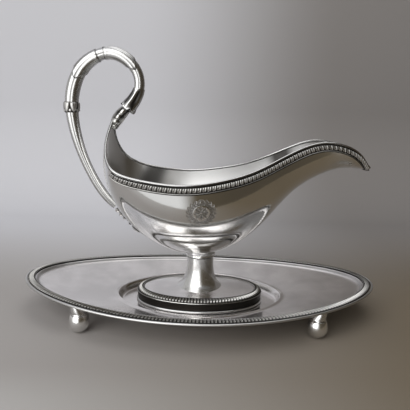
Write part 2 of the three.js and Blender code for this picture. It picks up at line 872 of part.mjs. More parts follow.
// The pendant below the handle's lower end lies on the keel of the bowl: a row of small
// knobs, a bead, a long drop and its tip.
function rootPendant() {
  const first = 0.277;
  const steps = 16;
  const knobs = (s) => (1.2 - s) * (0.65 + 0.35 * Math.abs(Math.sin(7.5 * Math.PI * s)));
  const bead = (s, middle, half) =>
    Math.sqrt(Math.max(0, 1 - ((s - middle) / half) ** 2));
  const reliefAt = (s) =>
    Math.max(0.3, s < 0.4 ? knobs(s) : 0, bead(s, 0.5, 0.09), bead(s, 0.78, 0.19));
  const lengthTo = (u) =>
    evenly(10).reduce((sum, t, i, all) => {
      if (!i) return 0;
      const [a, b] = [all[i - 1], t].map((share) => bowlPoint(lerp(first, u, share), 0));
      return sum + a.distanceTo(b);
    }, 0);
  const lastU = evenly(60)
    .map((t) => first + 0.12 * t)
    .find((u) => lengthTo(u) >= pendantLength);
  const across = [-1, -0.6, 0, 0.6, 1];
  const rows = evenly(steps).map((s) => {
    const u = lerp(first, lastU, s);
    const swell = reliefAt(s) * Math.min(1, 0.35 + 4 * (1 - s));
    const half = ((pendantWidth / 2) * (0.35 + 0.65 * swell)) / halfGirth(u);
    const under = across.map((v) => bowlOffset(u, v * half, seam));
    const over = across.map((v) =>
      bowlOffset(u, v * half, seam + 0.2 + (pendantRelief - 0.2) * swell * (1 - v * v)),
    );
    return [...under, ...over.reverse()];
  });
  return loft(rows);
}

// Named meshes

function metal(roughness, color = 0xd8d6d0) {
  return new THREE.MeshStandardMaterial({ color, roughness, metalness: 1 });
}

const polished = metal(0.12);
const worn = metal(0.32, 0xc9c5c2);
const chased = metal(0.25, 0xcfccc6);

function piece(name, geometry, material, parent) {
  const mesh = new THREE.Mesh(geometry, material);
  mesh.name = name;
  parent.add(mesh);
}

const stand = new THREE.Group();
piece("stand_tray", trayGeometry(), worn, stand);
piece("stand_rim_wire", standRimWire(), polished, stand);
piece("stand_leaf_band", standLeafBand(), chased, stand);
const trimmer = overTray();
for (const [place, sideX, sideY] of ballPlaces) {
  const x = (sideX * ballSpacingLong) / 2;
  const y = (sideY * ballSpacingWide) / 2;
  piece(`ball_foot_${place}`, ballGeometry().translate(x, y, 0), polished, stand);
  piece(`ball_neck_${place}`, ballNeckGeometry(x, y, trimmer), polished, stand);
}

const boat = new THREE.Group();
boat.position.z = wellFloorHeight + seam;
piece("foot_wire", footWire(), polished, boat);
piece("foot_band", footBand(), polished, boat);
piece("foot_leaf_moulding", footLeafMoulding(), chased, boat);
piece("foot_plate", footPlate(), worn, boat);
piece("stem", stemGeometry(), polished, boat);
piece("stem_collar", stemCollar(), polished, boat);
piece("bowl", bowlShell(), polished, boat);
const nearStrip = rimLeafStrip();
const nearWire = rimWire();
piece("rim_leaf_strip_near", nearStrip, chased, boat);
piece("rim_leaf_strip_far", farHalf(nearStrip), chased, boat);
piece("rim_wire_near", nearWire, polished, boat);
piece("rim_wire_far", farHalf(nearWire), polished, boat);
piece("handle_reeds_lower", reedsLower(), polished, boat);
piece("handle_reeds_upper", reedsUpper(), polished, boat);
piece("handle_band", handleBand(), chased, boat);
const { inner, outer } = sheathPlaces;
piece("handle_sheath_inner", handleSheath(inner, [sheathTip, 0]), polished, boat);
piece("handle_sheath_outer", handleSheath(outer, [0, sheathTip]), polished, boat);
piece("handle_calyx", handleCalyx(), chased, boat);
piece("peak_leaf", peakLeaf(), chased, boat);
piece("root_pendant", rootPendant(), chased, boat);

const sauceBoatWithStand = new THREE.Group();
sauceBoatWithStand.add(stand, boat);

export default sauceBoatWithStand;
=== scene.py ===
"""Dresses a silver sauce boat and its stand: fine surfaces, leaf mouldings, an engraved
wreath, silver finishes, a pale stage, soft lights and the camera."""

import math

import bpy
import numpy as np
from bpy.props import FloatProperty, FloatVectorProperty, IntProperty, PointerProperty
from mathutils import Matrix, Vector


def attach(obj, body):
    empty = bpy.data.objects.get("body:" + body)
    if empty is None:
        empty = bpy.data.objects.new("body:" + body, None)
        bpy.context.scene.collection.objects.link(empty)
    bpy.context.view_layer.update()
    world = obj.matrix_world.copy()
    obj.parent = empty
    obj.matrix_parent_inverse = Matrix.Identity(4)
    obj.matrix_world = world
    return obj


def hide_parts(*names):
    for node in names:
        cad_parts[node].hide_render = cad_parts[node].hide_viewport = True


bl_info = {
    "name": "Silver sauce boat with stand",
    "version": (1, 0, 0),
    "blender": (4, 5, 0),
    "location": "3D View > Sidebar > Sauce Boat",
    "description": "Builds the silver sauce boat, its stand and a stage around the frame",
    "category": "Add Mesh",
}

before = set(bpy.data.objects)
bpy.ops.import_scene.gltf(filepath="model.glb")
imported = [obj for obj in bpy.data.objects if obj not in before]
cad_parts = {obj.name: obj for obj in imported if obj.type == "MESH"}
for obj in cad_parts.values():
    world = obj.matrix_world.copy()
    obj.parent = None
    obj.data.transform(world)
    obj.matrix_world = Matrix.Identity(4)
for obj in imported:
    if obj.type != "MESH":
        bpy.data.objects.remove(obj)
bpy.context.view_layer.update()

# The pieces and their finishes are worked out in millimetres, and become metres in the
# meshes and the nodes. The stage and the settings are in metres.
MM = 0.001
TURN = 2 * math.pi
SEAM = 0.3

# Stand
STAND_HALF_LENGTH = 135.0
STAND_HALF_WIDTH = 76.0
STAND_PINCH = 0.1
TIP_RISE = 5.2
STAND_SHEET = 0.9
BORDER_WIDTH = 7.8
RIM_WIRE_RADIUS = 0.85
LEAF_BAND_RELIEF = 1.1
WIRE_MIDDLE = 18.95
BORDER_TOP = WIRE_MIDDLE + STAND_SHEET / 2
BORDER_START = 2 * RIM_WIRE_RADIUS + SEAM
COVE_WIDTH = 4.0
COVE_DEPTH = 3.0
COVE_TIP_RISE = TIP_RISE * 0.9
WELL_HALF_LENGTH = 64.0
WELL_HALF_WIDTH = 46.0
WELL_PINCH = 0.15
WELL_RIDGE_HEIGHT = 11.8
WELL_RIDGE_RUN = 2.4
WELL_RIDGE_DROP = 0.7
WELL_FLOOR_HEIGHT = 6.4
WELL_WALL_RUN = 3.2

# Ball feet
BALL_RADIUS = 6.95
BALL_MIDDLE = 6.7
BALL_TOP = 12.75
BALL_X = 82.7
BALL_Y = 48.6
BALL_REACH = 7.25
EGG_RISE = 10.5
NECK_LEAN = 0.32
NECK_HEIGHT = 4.5
NECK_TAPER = 0.9
NECK_LAP = 0.3

# The boat stands on the floor of the well.
LIFT = WELL_FLOOR_HEIGHT + SEAM
FOOT_HALF_LENGTH = 48.6
FOOT_HALF_WIDTH = 30.5
FOOT_WIRE_HEIGHT = 1.7
FOOT_WIRE_REACH = 0.9
FOOT_BAND_HEIGHT = 7.0
FOOT_SHEET = 1.3
FOOT_MOULDING_WIDTH = 5.2
FOOT_MOULDING_RISE = 3.0
FOOT_LEAF_RELIEF = 0.9
FOOT_LEAF_WAY = (-0.55, 0.83)
FOOT_DOME_RISE = 2.2
FOOT_PLATE_TOP = FOOT_BAND_HEIGHT + SEAM + FOOT_MOULDING_RISE * 0.8
STEM_BASE_RADIUS = 15.2
STEM_NECK_RADIUS = 10.3
STEM_NECK_HEIGHT = 31.0
STEM_SHEET = 1.6
STEM_SPREAD = 2.6
COLLAR_RADIUS = 11.6
COLLAR_HEIGHT = 2.6

# Bowl
BOWL_SHEET = 1.2
RIM_STRIP_WIDTH = 5.0
RIM_STRIP_START = 0.2183
RIM_LEAF_RELIEF = 0.8
RIM_WIRE_START = 0.0123
BOWL_WIRE_RADIUS = 0.85
LIP_OVERRUN = 2.0

# Bowl stations from the peak at the back to the tip of the lip: rim x, rim height, half
# width, keel x, keel height, and how far round the section wraps in degrees.
BOWL_STATIONS = np.array(
    [
        [-67.6, 138.8, 0.9, -67.9, 138.2, 34],
        [-69.4, 123.1, 18.4, -72.0, 124.5, 42],
        [-63.0, 106.1, 39.5, -71.6, 98.0, 60],
        [-42.1, 98.1, 44.7, -57.5, 65.5, 78],
        [-12.1, 95.5, 46.2, -23.5, 41.4, 87],
        [15.2, 98.7, 41.5, 14.5, 40.8, 89],
        [37.8, 104.8, 31.8, 46.0, 62.5, 88],
        [61.0, 115.4, 20.7, 69.5, 88.9, 87],
        [86.1, 124.5, 17.1, 95.5, 104.3, 86],
        [109.3, 119.6, 15.6, 111.1, 106.9, 84],
        [124.2, 107.4, 1.2, 123.6, 105.9, 80],
    ]
)

# Places round a section
NEAR_RIM = -1.0
KEEL = 0.0

# Handle centreline from its flared mouth over the loop to the bowl: x, height, radius.
HANDLE_POINTS = np.array(
    [
        [-56.5, 145.8, 3.2],
        [-50.2, 154.3, 3.6],
        [-47.4, 164.8, 3.6],
        [-52.5, 177.3, 3.8],
        [-67.6, 185.2, 4.0],
        [-84.0, 179.3, 4.3],
        [-93.8, 165.8, 4.8],
        [-97.2, 147.3, 4.5],
        [-94.2, 125.3, 3.7],
        [-86.5, 103.3, 3.1],
        [-75.5, 83.8, 3.0],
        [-64.6, 72.2, 2.4],
    ]
)
HANDLE_SPANS = len(HANDLE_POINTS) - 1
HANDLE_SIDE = np.array([0.0, 1.0, 0.0])
REEDS_START = 0.9 / HANDLE_SPANS
REEDS_END = 0.992
REED_DEPTH = 0.08
BAND_PLACE = 7 / HANDLE_SPANS
BAND_LENGTH = 8.0
BAND_REACH = 1.2
BAND_HUSKS = 6
SHEATH_WALL = 0.5
SHEATH_TIP = 7.0
CALYX_START = 1.65 / HANDLE_SPANS
CALYX_LIP_RADIUS = 6.4
CALYX_WALL = 0.5
CALYX_END = -0.022
CALYX_PETALS = 5
BERRY_RADIUS = 1.6

PEAK_LEAF_WIDTH = 11.5
PEAK_LEAF_THICKNESS = 9.0
PENDANT_FIRST = 0.277
PENDANT_LENGTH = 28.0
PENDANT_WIDTH = 7.0
PENDANT_RELIEF = 4.2

# Knobs, bead, drop and tip of the pendant: middle and half length as shares of it, size.
PENDANT_KNOBS = (
    (0.06, 0.09, 1.0),
    (0.2, 0.08, 0.86),
    (0.33, 0.07, 0.7),
    (0.44, 0.045, 0.5),
    (0.54, 0.06, 0.72),
    (0.76, 0.17, 0.8),
    (0.96, 0.04, 0.45),
)

# Sections of the leaf mouldings. The last number of each row is its tarnish, or on some
# beads painted shade, and LEAF where the leaves themselves set it.
LEAF = np.nan
POINTS_PER_LEAF = 10

# The stand's border: share of its width inwards, share of its relief, and tarnish, which
# on the inner bead is painted shade.
BORDER_SECTION = np.array(
    [
        [0.0, 0.1, 1.0],
        [0.04, 0.1, LEAF],
        [0.1, 0.05, LEAF],
        [0.14, 0.0, LEAF],
        [0.2, 0.0, LEAF],
        [0.28, 0.05, LEAF],
        [0.36, 0.1, LEAF],
        [0.44, 0.1, LEAF],
        [0.52, 0.1, LEAF],
        [0.6, 0.1, LEAF],
        [0.68, 0.1, LEAF],
        [0.76, 0.1, LEAF],
        [0.8, 0.1, 1.0],
        # The inner bead is painted dark: painted shade.
        [0.84, 0.4, 0.75],
        [0.9, 0.65, 0.75],
        [0.96, 0.5, 0.75],
        [1.0, 0.2, 1.0],
    ]
)

# The strip below the rim: distance down from the rim, distance out of the wall, and
# tarnish, which on the lower bead is painted shade. Its last three rows lead back up along
# the wall.
RIM_STRIP_SECTION = np.array(
    [
        [-0.6, 0.4, 1.0],
        [-0.5, 0.7, 1.0],
        [-0.1, 0.7, 1.0],
        [0.15, 0.55, 1.0],
        [0.4, 0.75, LEAF],
        [0.75, 0.8, LEAF],
        [1.15, 0.85, LEAF],
        [1.6, 0.85, LEAF],
        [2.05, 0.85, LEAF],
        [2.5, 0.8, LEAF],
        [2.95, 0.7, LEAF],
        [3.35, 0.6, LEAF],
        [3.7, 0.5, LEAF],
        [3.95, 0.4, 1.0],
        [4.15, 0.45, 1.0],
        # The lower bead is painted dark: painted shade.
        [4.4, 0.9, 0.6],
        [4.65, 1.0, 0.6],
        [4.85, 0.8, 1.0],
        [5.0, 0.4, 1.0],
        [5.05, 0.14, 1.0],
        [5.6, 0.14, 1.0],
        [4.2, 0.4, 1.0],
        [2.5, 0.4, 1.0],
        [0.8, 0.4, 1.0],
    ]
)

# Points round the pieces
TRAY_SPOKES = 240
FOOT_SPOKES = 192
LATHE_SPOKES = 96
BALL_SPOKES = 56
NECK_SPOKES = 40
WIRE_SPOKES = 14
REED_SPOKES = 64
BAND_SPOKES = 120
SHEATH_SPOKES = 96
PETAL_SPOKES = 20
PEAK_LEAF_SPOKES = 72
CORNER_STEPS = 3

# Engraved wreath: its branches' and its bow's place as shares of its half size, the
# turns of its pairs of leaves in degrees, their lean in radians, and a distance past
# which nothing is cut.
WREATH_BRANCH = 0.8
WREATH_PAIRS = 9
WREATH_FIRST = -76
WREATH_STEP = 18.5
WREATH_LEAN = 0.62
WREATH_LEAF = (3.5, 0.62)
BOW_PLACE = 0.84
FLOWER_PETALS = 8
FLOWER_LEAVES = ((1.1, 0.0, 3.1, 0.75), (1.9, 0.39, 3.0, 0.4))
UNCUT = 9.0

# Finishes: how far the roughness wanders, how far the colour varies in soft patches, how
# brown the darkest tarnish and painted shade are, and how deep the hairlines are.
FINISHES = {
    "polished": (0.04, 0.04, 0.95, 0.003),
    "worn": (0.1, 0.2, 0.5, 0.005),
    "chased": (0.06, 0.05, 1.0, 0.003),
}

# Stage: the paper's half breadth, its front fold and end, how far it lies below the
# balls, its sweep and wall, then the lights, the room's colours and the camera.
PAPER_REACH = 0.9
PAPER_FRONT = -0.155
PAPER_FOLD = 0.01
PAPER_END = -0.4
PAPER_DROP = 0.0001
SWEEP_START = 0.3
SWEEP_RADIUS = 0.16
WALL_HEIGHT = 1.1
LIGHT_AIM = (0, 0, 0.09)
WINDOW_PLACE = (-0.52, -0.86, 0.54)
WINDOW_SIZE = (1.17, 1.37)
TOP_LIGHT_PLACE = (0.1, 0.05, 1.1)
TOP_LIGHT_SIZE = (0.9, 0.6)
ROOM_PALE = (0.5, 0.495, 0.49)
ROOM_PALE_NEAR = (0.76, 0.76, 0.76)
ROOM_DUSK = (0.1, 0.082, 0.055)
ROOM_DUSK_FAR = (0.07, 0.058, 0.042)
CEILING_LEFT = (0.55, 0.56, 0.6)
CEILING_RIGHT = (0.16, 0.16, 0.16)
CAMERA_PLACE = (0.00118, -0.35317, 0.15161)
CAMERA_DEGREES = (-0.24, 11.13, 1.53)


# Curves and surfaces


def spline(values):
    """A natural cubic spline through evenly spaced knots. Its second derivatives solve
    M[i-1] + 4 M[i] + M[i+1] = 6 (y[i-1] - 2 y[i] + y[i+1]), with none at the two ends."""
    values = np.asarray(values, float)
    last = len(values) - 1
    system = 4 * np.eye(last - 1) + np.eye(last - 1, k=1) + np.eye(last - 1, k=-1)
    bend = np.zeros(last + 1)
    bend[1:-1] = np.linalg.solve(system, 6 * np.diff(values, 2))

    def at(share):
        place = np.clip(share, 0, 1) * last
        i = np.minimum(np.floor(place).astype(int), last - 1)
        t = place - i
        s = 1 - t
        cubic = (s**3 - s) * bend[i] + (t**3 - t) * bend[i + 1]
        return s * values[i] + t * values[i + 1] + cubic / 6

    return at


def lerp(a, b, t):
    """The value at a share t of the way from a to b."""
    return a + (b - a) * t


def smooth(t):
    """Rises from 0 to 1 with a flat start and end: 3 t squared less 2 t cubed."""
    t = np.clip(t, 0, 1)
    return t * t * (3 - 2 * t)


def bell(value, middle, breadth):
    """1 at the middle, and away from it e to the minus square of the breadths between."""
    return np.exp(-(((value - middle) / breadth) ** 2))


def dome(distance):
    """The height of a half circle: the root of 1 less the distance squared."""
    return np.sqrt(np.clip(1 - distance**2, 0, 1))


def unit(vectors):
    """The vectors, each divided by its own length."""
    return vectors / np.maximum(np.linalg.norm(vectors, axis=-1, keepdims=True), 1e-12)


def stacked(x, y, z):
    """Points from their three coordinates, which are spread over one common grid."""
    return np.stack(np.broadcast_arrays(x, y, z), -1)


def turns(count):
    """Even angles once round, from 0."""
    return np.arange(count) / count * TURN


def share_and_turn(count, around):
    """A grid whose rows go from 0 to 1 and whose columns go once round."""
    return np.meshgrid(np.linspace(0, 1, count), turns(around), indexing="ij")


def rounded(corners, radius):
    """A closed outline with each corner replaced by a quadratic curve between the points
    that lie the radius before and after it, or 0.45 of the side where that is less."""
    corners = np.asarray(corners, float)
    ends = []
    for step in (1, -1):
        side = np.roll(corners, step, axis=0) - corners
        reach = np.minimum(radius, 0.45 * np.linalg.norm(side, axis=1))
        ends.append((corners + unit(side) * reach[:, None])[:, None])
    start, end = ends
    t = np.linspace(0, 1, CORNER_STEPS + 1)[None, :, None]
    curve = (1 - t) ** 2 * start + 2 * t * (1 - t) * corners[:, None] + t**2 * end
    return curve.reshape(-1, 2)


def lengths_along(points):
    """The length of a polyline from its start to each of its points."""
    steps = np.linalg.norm(np.diff(points, axis=0), axis=1)
    return np.concatenate([[0], np.cumsum(steps)])


def whole_leaves(points, start, end, pitch, per_leaf):
    """Parameters from start to end that part a dense polyline into whole leaves of even
    length, near the pitch, and the number of leaves before each of them."""
    length = lengths_along(points)
    count = int(round(length[-1] / pitch)) * per_leaf + 1
    even = np.linspace(0, length[-1], count)
    places = np.interp(even, length, np.linspace(start, end, len(points)))
    return places, np.arange(count) / per_leaf


def seek_height(surface, x, y, first, second):
    """The height of a surface over x and y, by Newton's method on its two parameters."""
    first = np.full(np.shape(x), float(first))
    second = np.full(np.shape(x), float(second))
    step = 1e-4
    for _ in range(10):
        here = surface(first, second)
        by_first = (surface(first + step, second) - here) / step
        by_second = (surface(first, second + step) - here) / step
        gap_x, gap_y = x - here[..., 0], y - here[..., 1]
        area = by_first[..., 0] * by_second[..., 1] - by_first[..., 1] * by_second[..., 0]
        first = first + (gap_x * by_second[..., 1] - gap_y * by_second[..., 0]) / area
        second = second + (gap_y * by_first[..., 0] - gap_x * by_first[..., 1]) / area
    return surface(first, second)[..., 2]


def leaf_tips(along, down, breadth):
    """Height and pit, from 0 to 1, of a row of leaf tips. Along counts leaves, and down
    runs from their roots at 0 to their points at 1. Each leaf is a tongue that fills the
    breadth's share of its pitch at the root and narrows by the cube root of 1 less the
    fifth power of down. Across it stand two lobes, the root of the sine of one turn to
    a pitch, with a low midrib between them. Pits lie beside the leaf and along its rib."""
    place = (along - np.floor(along))[:, None]
    row = (down > 0) & (down < 1)
    across = np.abs(place - 0.5) * 2
    half = breadth * np.clip(1 - (down / 0.93) ** 5, 0, 1) ** (1 / 3)
    inside = smooth((half - across) / 0.16)
    lobes = np.sqrt(np.abs(np.sin(TURN * place)))
    height = np.maximum(lobes, 0.4 * bell(across, 0, 0.2)) * inside * (1 - 0.25 * down)
    pit = np.maximum(1 - inside, 0.9 * bell(across, 0, 0.13))
    return height * row, pit * row


def leaf_tarnish_and_shade(heights, depths, pit, fixed):
    """The tarnish of a leaf moulding runs from its value on the heights to that in the
    depths with the pits, except where its section has a fixed number; on some beads that
    number is painted shade."""
    return np.where(np.isnan(fixed), lerp(heights, depths, pit), fixed)


# Meshes


def grid_faces(rows, columns, ring, hoop):
    """Quads between neighbours of a grid. Its columns join up where it is a ring, and
    its rows where it is a hoop."""
    i = np.arange(rows if hoop else rows - 1)[:, None]
    j = np.arange(columns if ring else columns - 1)[None, :]
    below, beside = (i + 1) % rows, (j + 1) % columns
    corners = [
        i * columns + j,
        i * columns + beside,
        below * columns + beside,
        below * columns + j,
    ]
    return np.stack(np.broadcast_arrays(*corners), -1).reshape(-1, 4)


class Shape:
    """Closed grids of points, gathered into one mesh. Each point has three numbers:
    tarnish_and_shade is 1 in the depths of the relief, where it is tarnish, and on some
    pieces it also carries painted shade and painted dark reflections; engraved is 1 on a
    cut line, and satin is 1 where the surface is brushed dull."""

    def __init__(self):
        self.points, self.quads, self.triangles = [], [], []
        self.numbers = {"tarnish_and_shade": [], "engraved": [], "satin": []}
        self.count = 0

    def add(self, rows, hoop=False, tarnish_and_shade=0.0, engraved=0.0, satin=0.0):
        """Adds a tube whose rows are rings. Where its rows don't join up, each end is
        closed by a fan round its middle. Its faces are turned to face outwards, by the
        sign of the volume that they enclose."""
        rows = np.asarray(rows, float)
        count, columns = rows.shape[:2]
        points = rows.reshape(-1, 3)
        quads = grid_faces(count, columns, True, hoop)
        triangles = np.zeros((0, 3), int)
        if not hoop:
            ring = np.arange(columns)
            after = (ring + 1) % columns
            start = len(points)
            last = start - columns
            first_fan = np.stack([np.full(columns, start), after, ring], -1)
            last_fan = np.stack([np.full(columns, start + 1), last + ring, last + after], -1)
            triangles = np.concatenate([first_fan, last_fan])
            points = np.concatenate([points, rows[[0, -1]].mean(axis=1)])
        for values, number in zip(self.numbers.values(), (tarnish_and_shade, engraved, satin)):
            number = np.broadcast_to(number, (count, columns))
            ends = [] if hoop else number[[0, -1]].mean(axis=1)
            values.append(np.concatenate([number.reshape(-1), ends]))
        if self.volume(points, quads, triangles) < 0:
            quads, triangles = quads[:, ::-1], triangles[:, ::-1]
        self.points.append(points)
        self.quads.append(quads + self.count)
        self.triangles.append(triangles + self.count)
        self.count += len(points)
        return self

    @staticmethod
    def volume(points, quads, triangles):
        """Six times the volume: the sum of a . (b x c) over the triangles."""
        faces = np.concatenate([quads[:, [0, 1, 2]], quads[:, [0, 2, 3]], triangles])
        a, b, c = (points[faces[:, k]] for k in range(3))
        return np.einsum("ij,ij->", a, np.cross(b, c))

    def mesh(self, name):
        """All the grids as one smooth mesh, in metres, with sharp edges past 55 degrees."""
        points = np.concatenate(self.points) * MM
        quads = np.concatenate(self.quads)
        triangles = np.concatenate(self.triangles)
        corners = np.concatenate([quads.ravel(), triangles.ravel()])
        quad_starts = np.arange(len(quads)) * 4
        triangle_starts = quads.size + np.arange(len(triangles)) * 3
        starts = np.concatenate([quad_starts, triangle_starts])
        mesh = bpy.data.meshes.new(name)
        mesh.vertices.add(len(points))
        mesh.vertices.foreach_set("co", points.astype(np.float32).ravel())
        mesh.loops.add(len(corners))
        mesh.loops.foreach_set("vertex_index", corners.astype(np.int32))
        mesh.polygons.add(len(starts))
        mesh.polygons.foreach_set("loop_start", starts.astype(np.int32))
        for label, values in self.numbers.items():
            attribute = mesh.attributes.new(label, "FLOAT", "POINT")
            attribute.data.foreach_set("value", np.concatenate(values).astype(np.float32))
        mesh.update(calc_edges=True)
        mesh.polygons.foreach_set("use_smooth", np.ones(len(starts), bool))
        mesh.set_sharp_from_angle(angle=math.radians(55))
        return mesh


def fresh_object(name, data):
    """A new object in the scene, in the place of an old one of the same name."""
    old = bpy.data.objects.get(name)
    if old:
        bpy.data.objects.remove(old)
    made = bpy.data.objects.new(name, data)
    bpy.context.scene.collection.objects.link(made)
    return made


def place(name, shape, body, nodes, slot, finish=None):
    """Puts a shape into the scene as a piece that rides on a body and stands for nodes.
    It has the finish that its slot is named for, unless another is given."""
    piece = fresh_object(name, shape.mesh(name))
    piece.data.materials.append(silver(finish or slot.removesuffix("_silver")))
    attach(piece, body)
    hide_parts(*nodes)


# Shader maths


class Value:
    """One output of a shader node, with Python's operators as Math nodes."""

    def __init__(self, paint, socket):
        self.paint, self.socket = paint, socket

    def math(self, operation, *others, clamp=False):
        values = dict(enumerate((self, *others)))
        settings = {"operation": operation, "use_clamp": clamp}
        return self.paint.node("ShaderNodeMath", settings, values)

    def __add__(self, other):
        return self.math("ADD", other)

    __radd__ = __add__

    def __mul__(self, other):
        return self.math("MULTIPLY", other)

    __rmul__ = __mul__

    def __sub__(self, other):
        return self.math("SUBTRACT", other)

    def __rsub__(self, other):
        return self.math("MULTIPLY_ADD", -1.0, other)

    def clamped(self):
        return self.math("ADD", 0.0, clamp=True)


class Paint:
    """A node tree that is filled afresh through one method."""

    def __init__(self, owner):
        owner.use_nodes = True
        self.tree = owner.node_tree
        self.tree.nodes.clear()

    def node(self, kind, settings=None, values=None, output=0):
        """Adds a node: its settings first, then the value or link of each input."""
        made = self.tree.nodes.new(kind)
        for key, setting in (settings or {}).items():
            setattr(made, key, setting)
        for key, value in (values or {}).items():
            if isinstance(value, Value):
                self.tree.links.new(value.socket, made.inputs[key])
            else:
                made.inputs[key].default_value = value
        return Value(self, made.outputs[output]) if made.outputs else None

    def axes(self, space):
        """The three coordinates of a point in a space of Texture Coordinate."""
        where = self.node("ShaderNodeTexCoord", output=space)
        return [
            self.node("ShaderNodeSeparateXYZ", None, {0: where}, output=axis) for axis in "XYZ"
        ]

    def noise(self, size, detail, roughness=0.5, stretch=(1.0, 1.0, 1.0), seed=0.0):
        """Noise from 0 to 1 whose features are about size millimetres wide, divided by
        the stretch along each axis."""
        where = self.node("ShaderNodeTexCoord", output="Object")
        scale = tuple(s / MM for s in stretch)
        values = {
            "Vector": self.node(
                "ShaderNodeVectorMath", {"operation": "MULTIPLY"}, {0: where, 1: scale}
            ),
            "W": seed,
            "Scale": 1.0 / size,
            "Detail": detail,
            "Roughness": roughness,
        }
        return self.node("ShaderNodeTexNoise", {"noise_dimensions": "4D"}, values)

    def band(self, value, low, high):
        """0 below low, 1 above high, and a smooth step between."""
        settings = {"interpolation_type": "SMOOTHSTEP"}
        values = {"Value": value, "From Min": low, "From Max": high}
        return self.node("ShaderNodeMapRange", settings, values)

    def mix(self, factor, first, second):
        """The first colour where the factor is 0, and the second where it is 1."""
        first, second = (
            colour if isinstance(colour, Value) else (*colour, 1.0)
            for colour in (first, second)
        )
        values = {0: factor, 6: first, 7: second}
        return self.node("ShaderNodeMix", {"data_type": "RGBA"}, values, output=2)

    def attribute(self, name):
        """A number of the mesh's points, held between 0 and 1."""
        settings = {"attribute_type": "GEOMETRY", "attribute_name": name}
        return self.node("ShaderNodeAttribute", settings, output="Fac").clamped()

    def bump(self, height, distance, normal=None):
        """A height from 0 to 1 as a bump of that many millimetres."""
        values = {"Strength": 1.0, "Distance": distance * MM, "Height": height}
        if normal:
            values["Normal"] = normal
        return self.node("ShaderNodeBump", None, values)

    def show(self, shader, values, output="ShaderNodeOutputMaterial"):
        """Ends the tree with a shader and its output."""
        self.node(output, None, {"Surface": self.node(shader, None, values)})


def named_material(name):
    """The material of that name, new or to be filled again."""
    return bpy.data.materials.get(name) or bpy.data.materials.new(name)


def silver(finish):
    """One of the silver finishes. Slow noise moves its roughness and its colour, small
    spots and the tarnished hollows are brown, and so is the painted shade that some
    pieces carry, and hairlines cross it in two directions."""
    settings = bpy.context.scene.sauce_boat_finish
    colour = tuple(getattr(settings, f"{finish}_colour"))
    roughness = getattr(settings, f"{finish}_roughness")
    spread, cloud, brown, scratch = FINISHES[finish]
    material = named_material(f"{finish}_finish")
    paint = Paint(material)
    patches = paint.noise(26, 4, 0.55, seed=1.3)
    spots = paint.band(paint.noise(3.4, 5, 0.6, seed=4.1), 0.64, 0.78)
    hairlines = paint.noise(0.5, 2, stretch=(0.12, 0.5, 1.0), seed=2.2)
    crossing = paint.noise(0.5, 2, stretch=(1.0, 0.6, 0.1), seed=6.4)
    dents = paint.noise(9, 2, seed=8.8)
    tarnish_and_shade, engraved, satin = (
        paint.attribute(name) for name in ("tarnish_and_shade", "engraved", "satin")
    )
    dark = tuple(c * (1 - cloud) for c in colour)
    tone = paint.mix(paint.band(patches, 0.35, 0.68), dark, colour)
    # Tarnish in the hollows, and painted shade and painted dark reflections on some pieces,
    # darken the colour here.
    tone = paint.mix((tarnish_and_shade * brown + spots * 0.08).clamped(), tone, settings.tarnish_and_shade_colour)
    tone = paint.mix(engraved * 0.9, tone, settings.engraved_colour)
    rough = patches * spread + (roughness - spread / 2) + tarnish_and_shade * 0.22 + spots * 0.08
    rough = rough + engraved * 0.3 + satin * 0.17 + hairlines * 0.05
    lines = paint.bump(hairlines + crossing, scratch)
    values = {
        "Base Color": tone,
        "Metallic": 1.0,
        "Roughness": rough.clamped(),
        "Normal": paint.bump(dents, scratch * 11, lines),
    }
    paint.show("ShaderNodeBsdfPrincipled", values)
    return material


# Stand


def oval(turn, a, b, pinch, z, rise=0.0):
    """A pointed oval: x = a cos t, y = b sin t (1 - pinch cos t squared), and its height
    z rises towards the two tips by rise cos t squared."""
    c, s = np.cos(turn), np.sin(turn)
    return stacked(a * c, b * s * (1 - pinch * c * c), z + rise * c * c)


def border(turn, inset, height):
    """A point of the stand's border, a distance in from its edge and a height above it."""
    a, b = STAND_HALF_LENGTH - inset, STAND_HALF_WIDTH - inset
    return oval(turn, a, b, STAND_PINCH, BORDER_TOP + height, TIP_RISE)


def even_turns(a, b, pinch, pitch, per_leaf=1):
    """Turns that part an oval into whole leaves of even length, and each leaf's count."""
    path = oval(np.linspace(0, TURN, 2001), a, b, pinch, 0.0)
    turn, along = whole_leaves(path, 0, TURN, pitch, per_leaf)
    return turn[:-1], along[:-1]


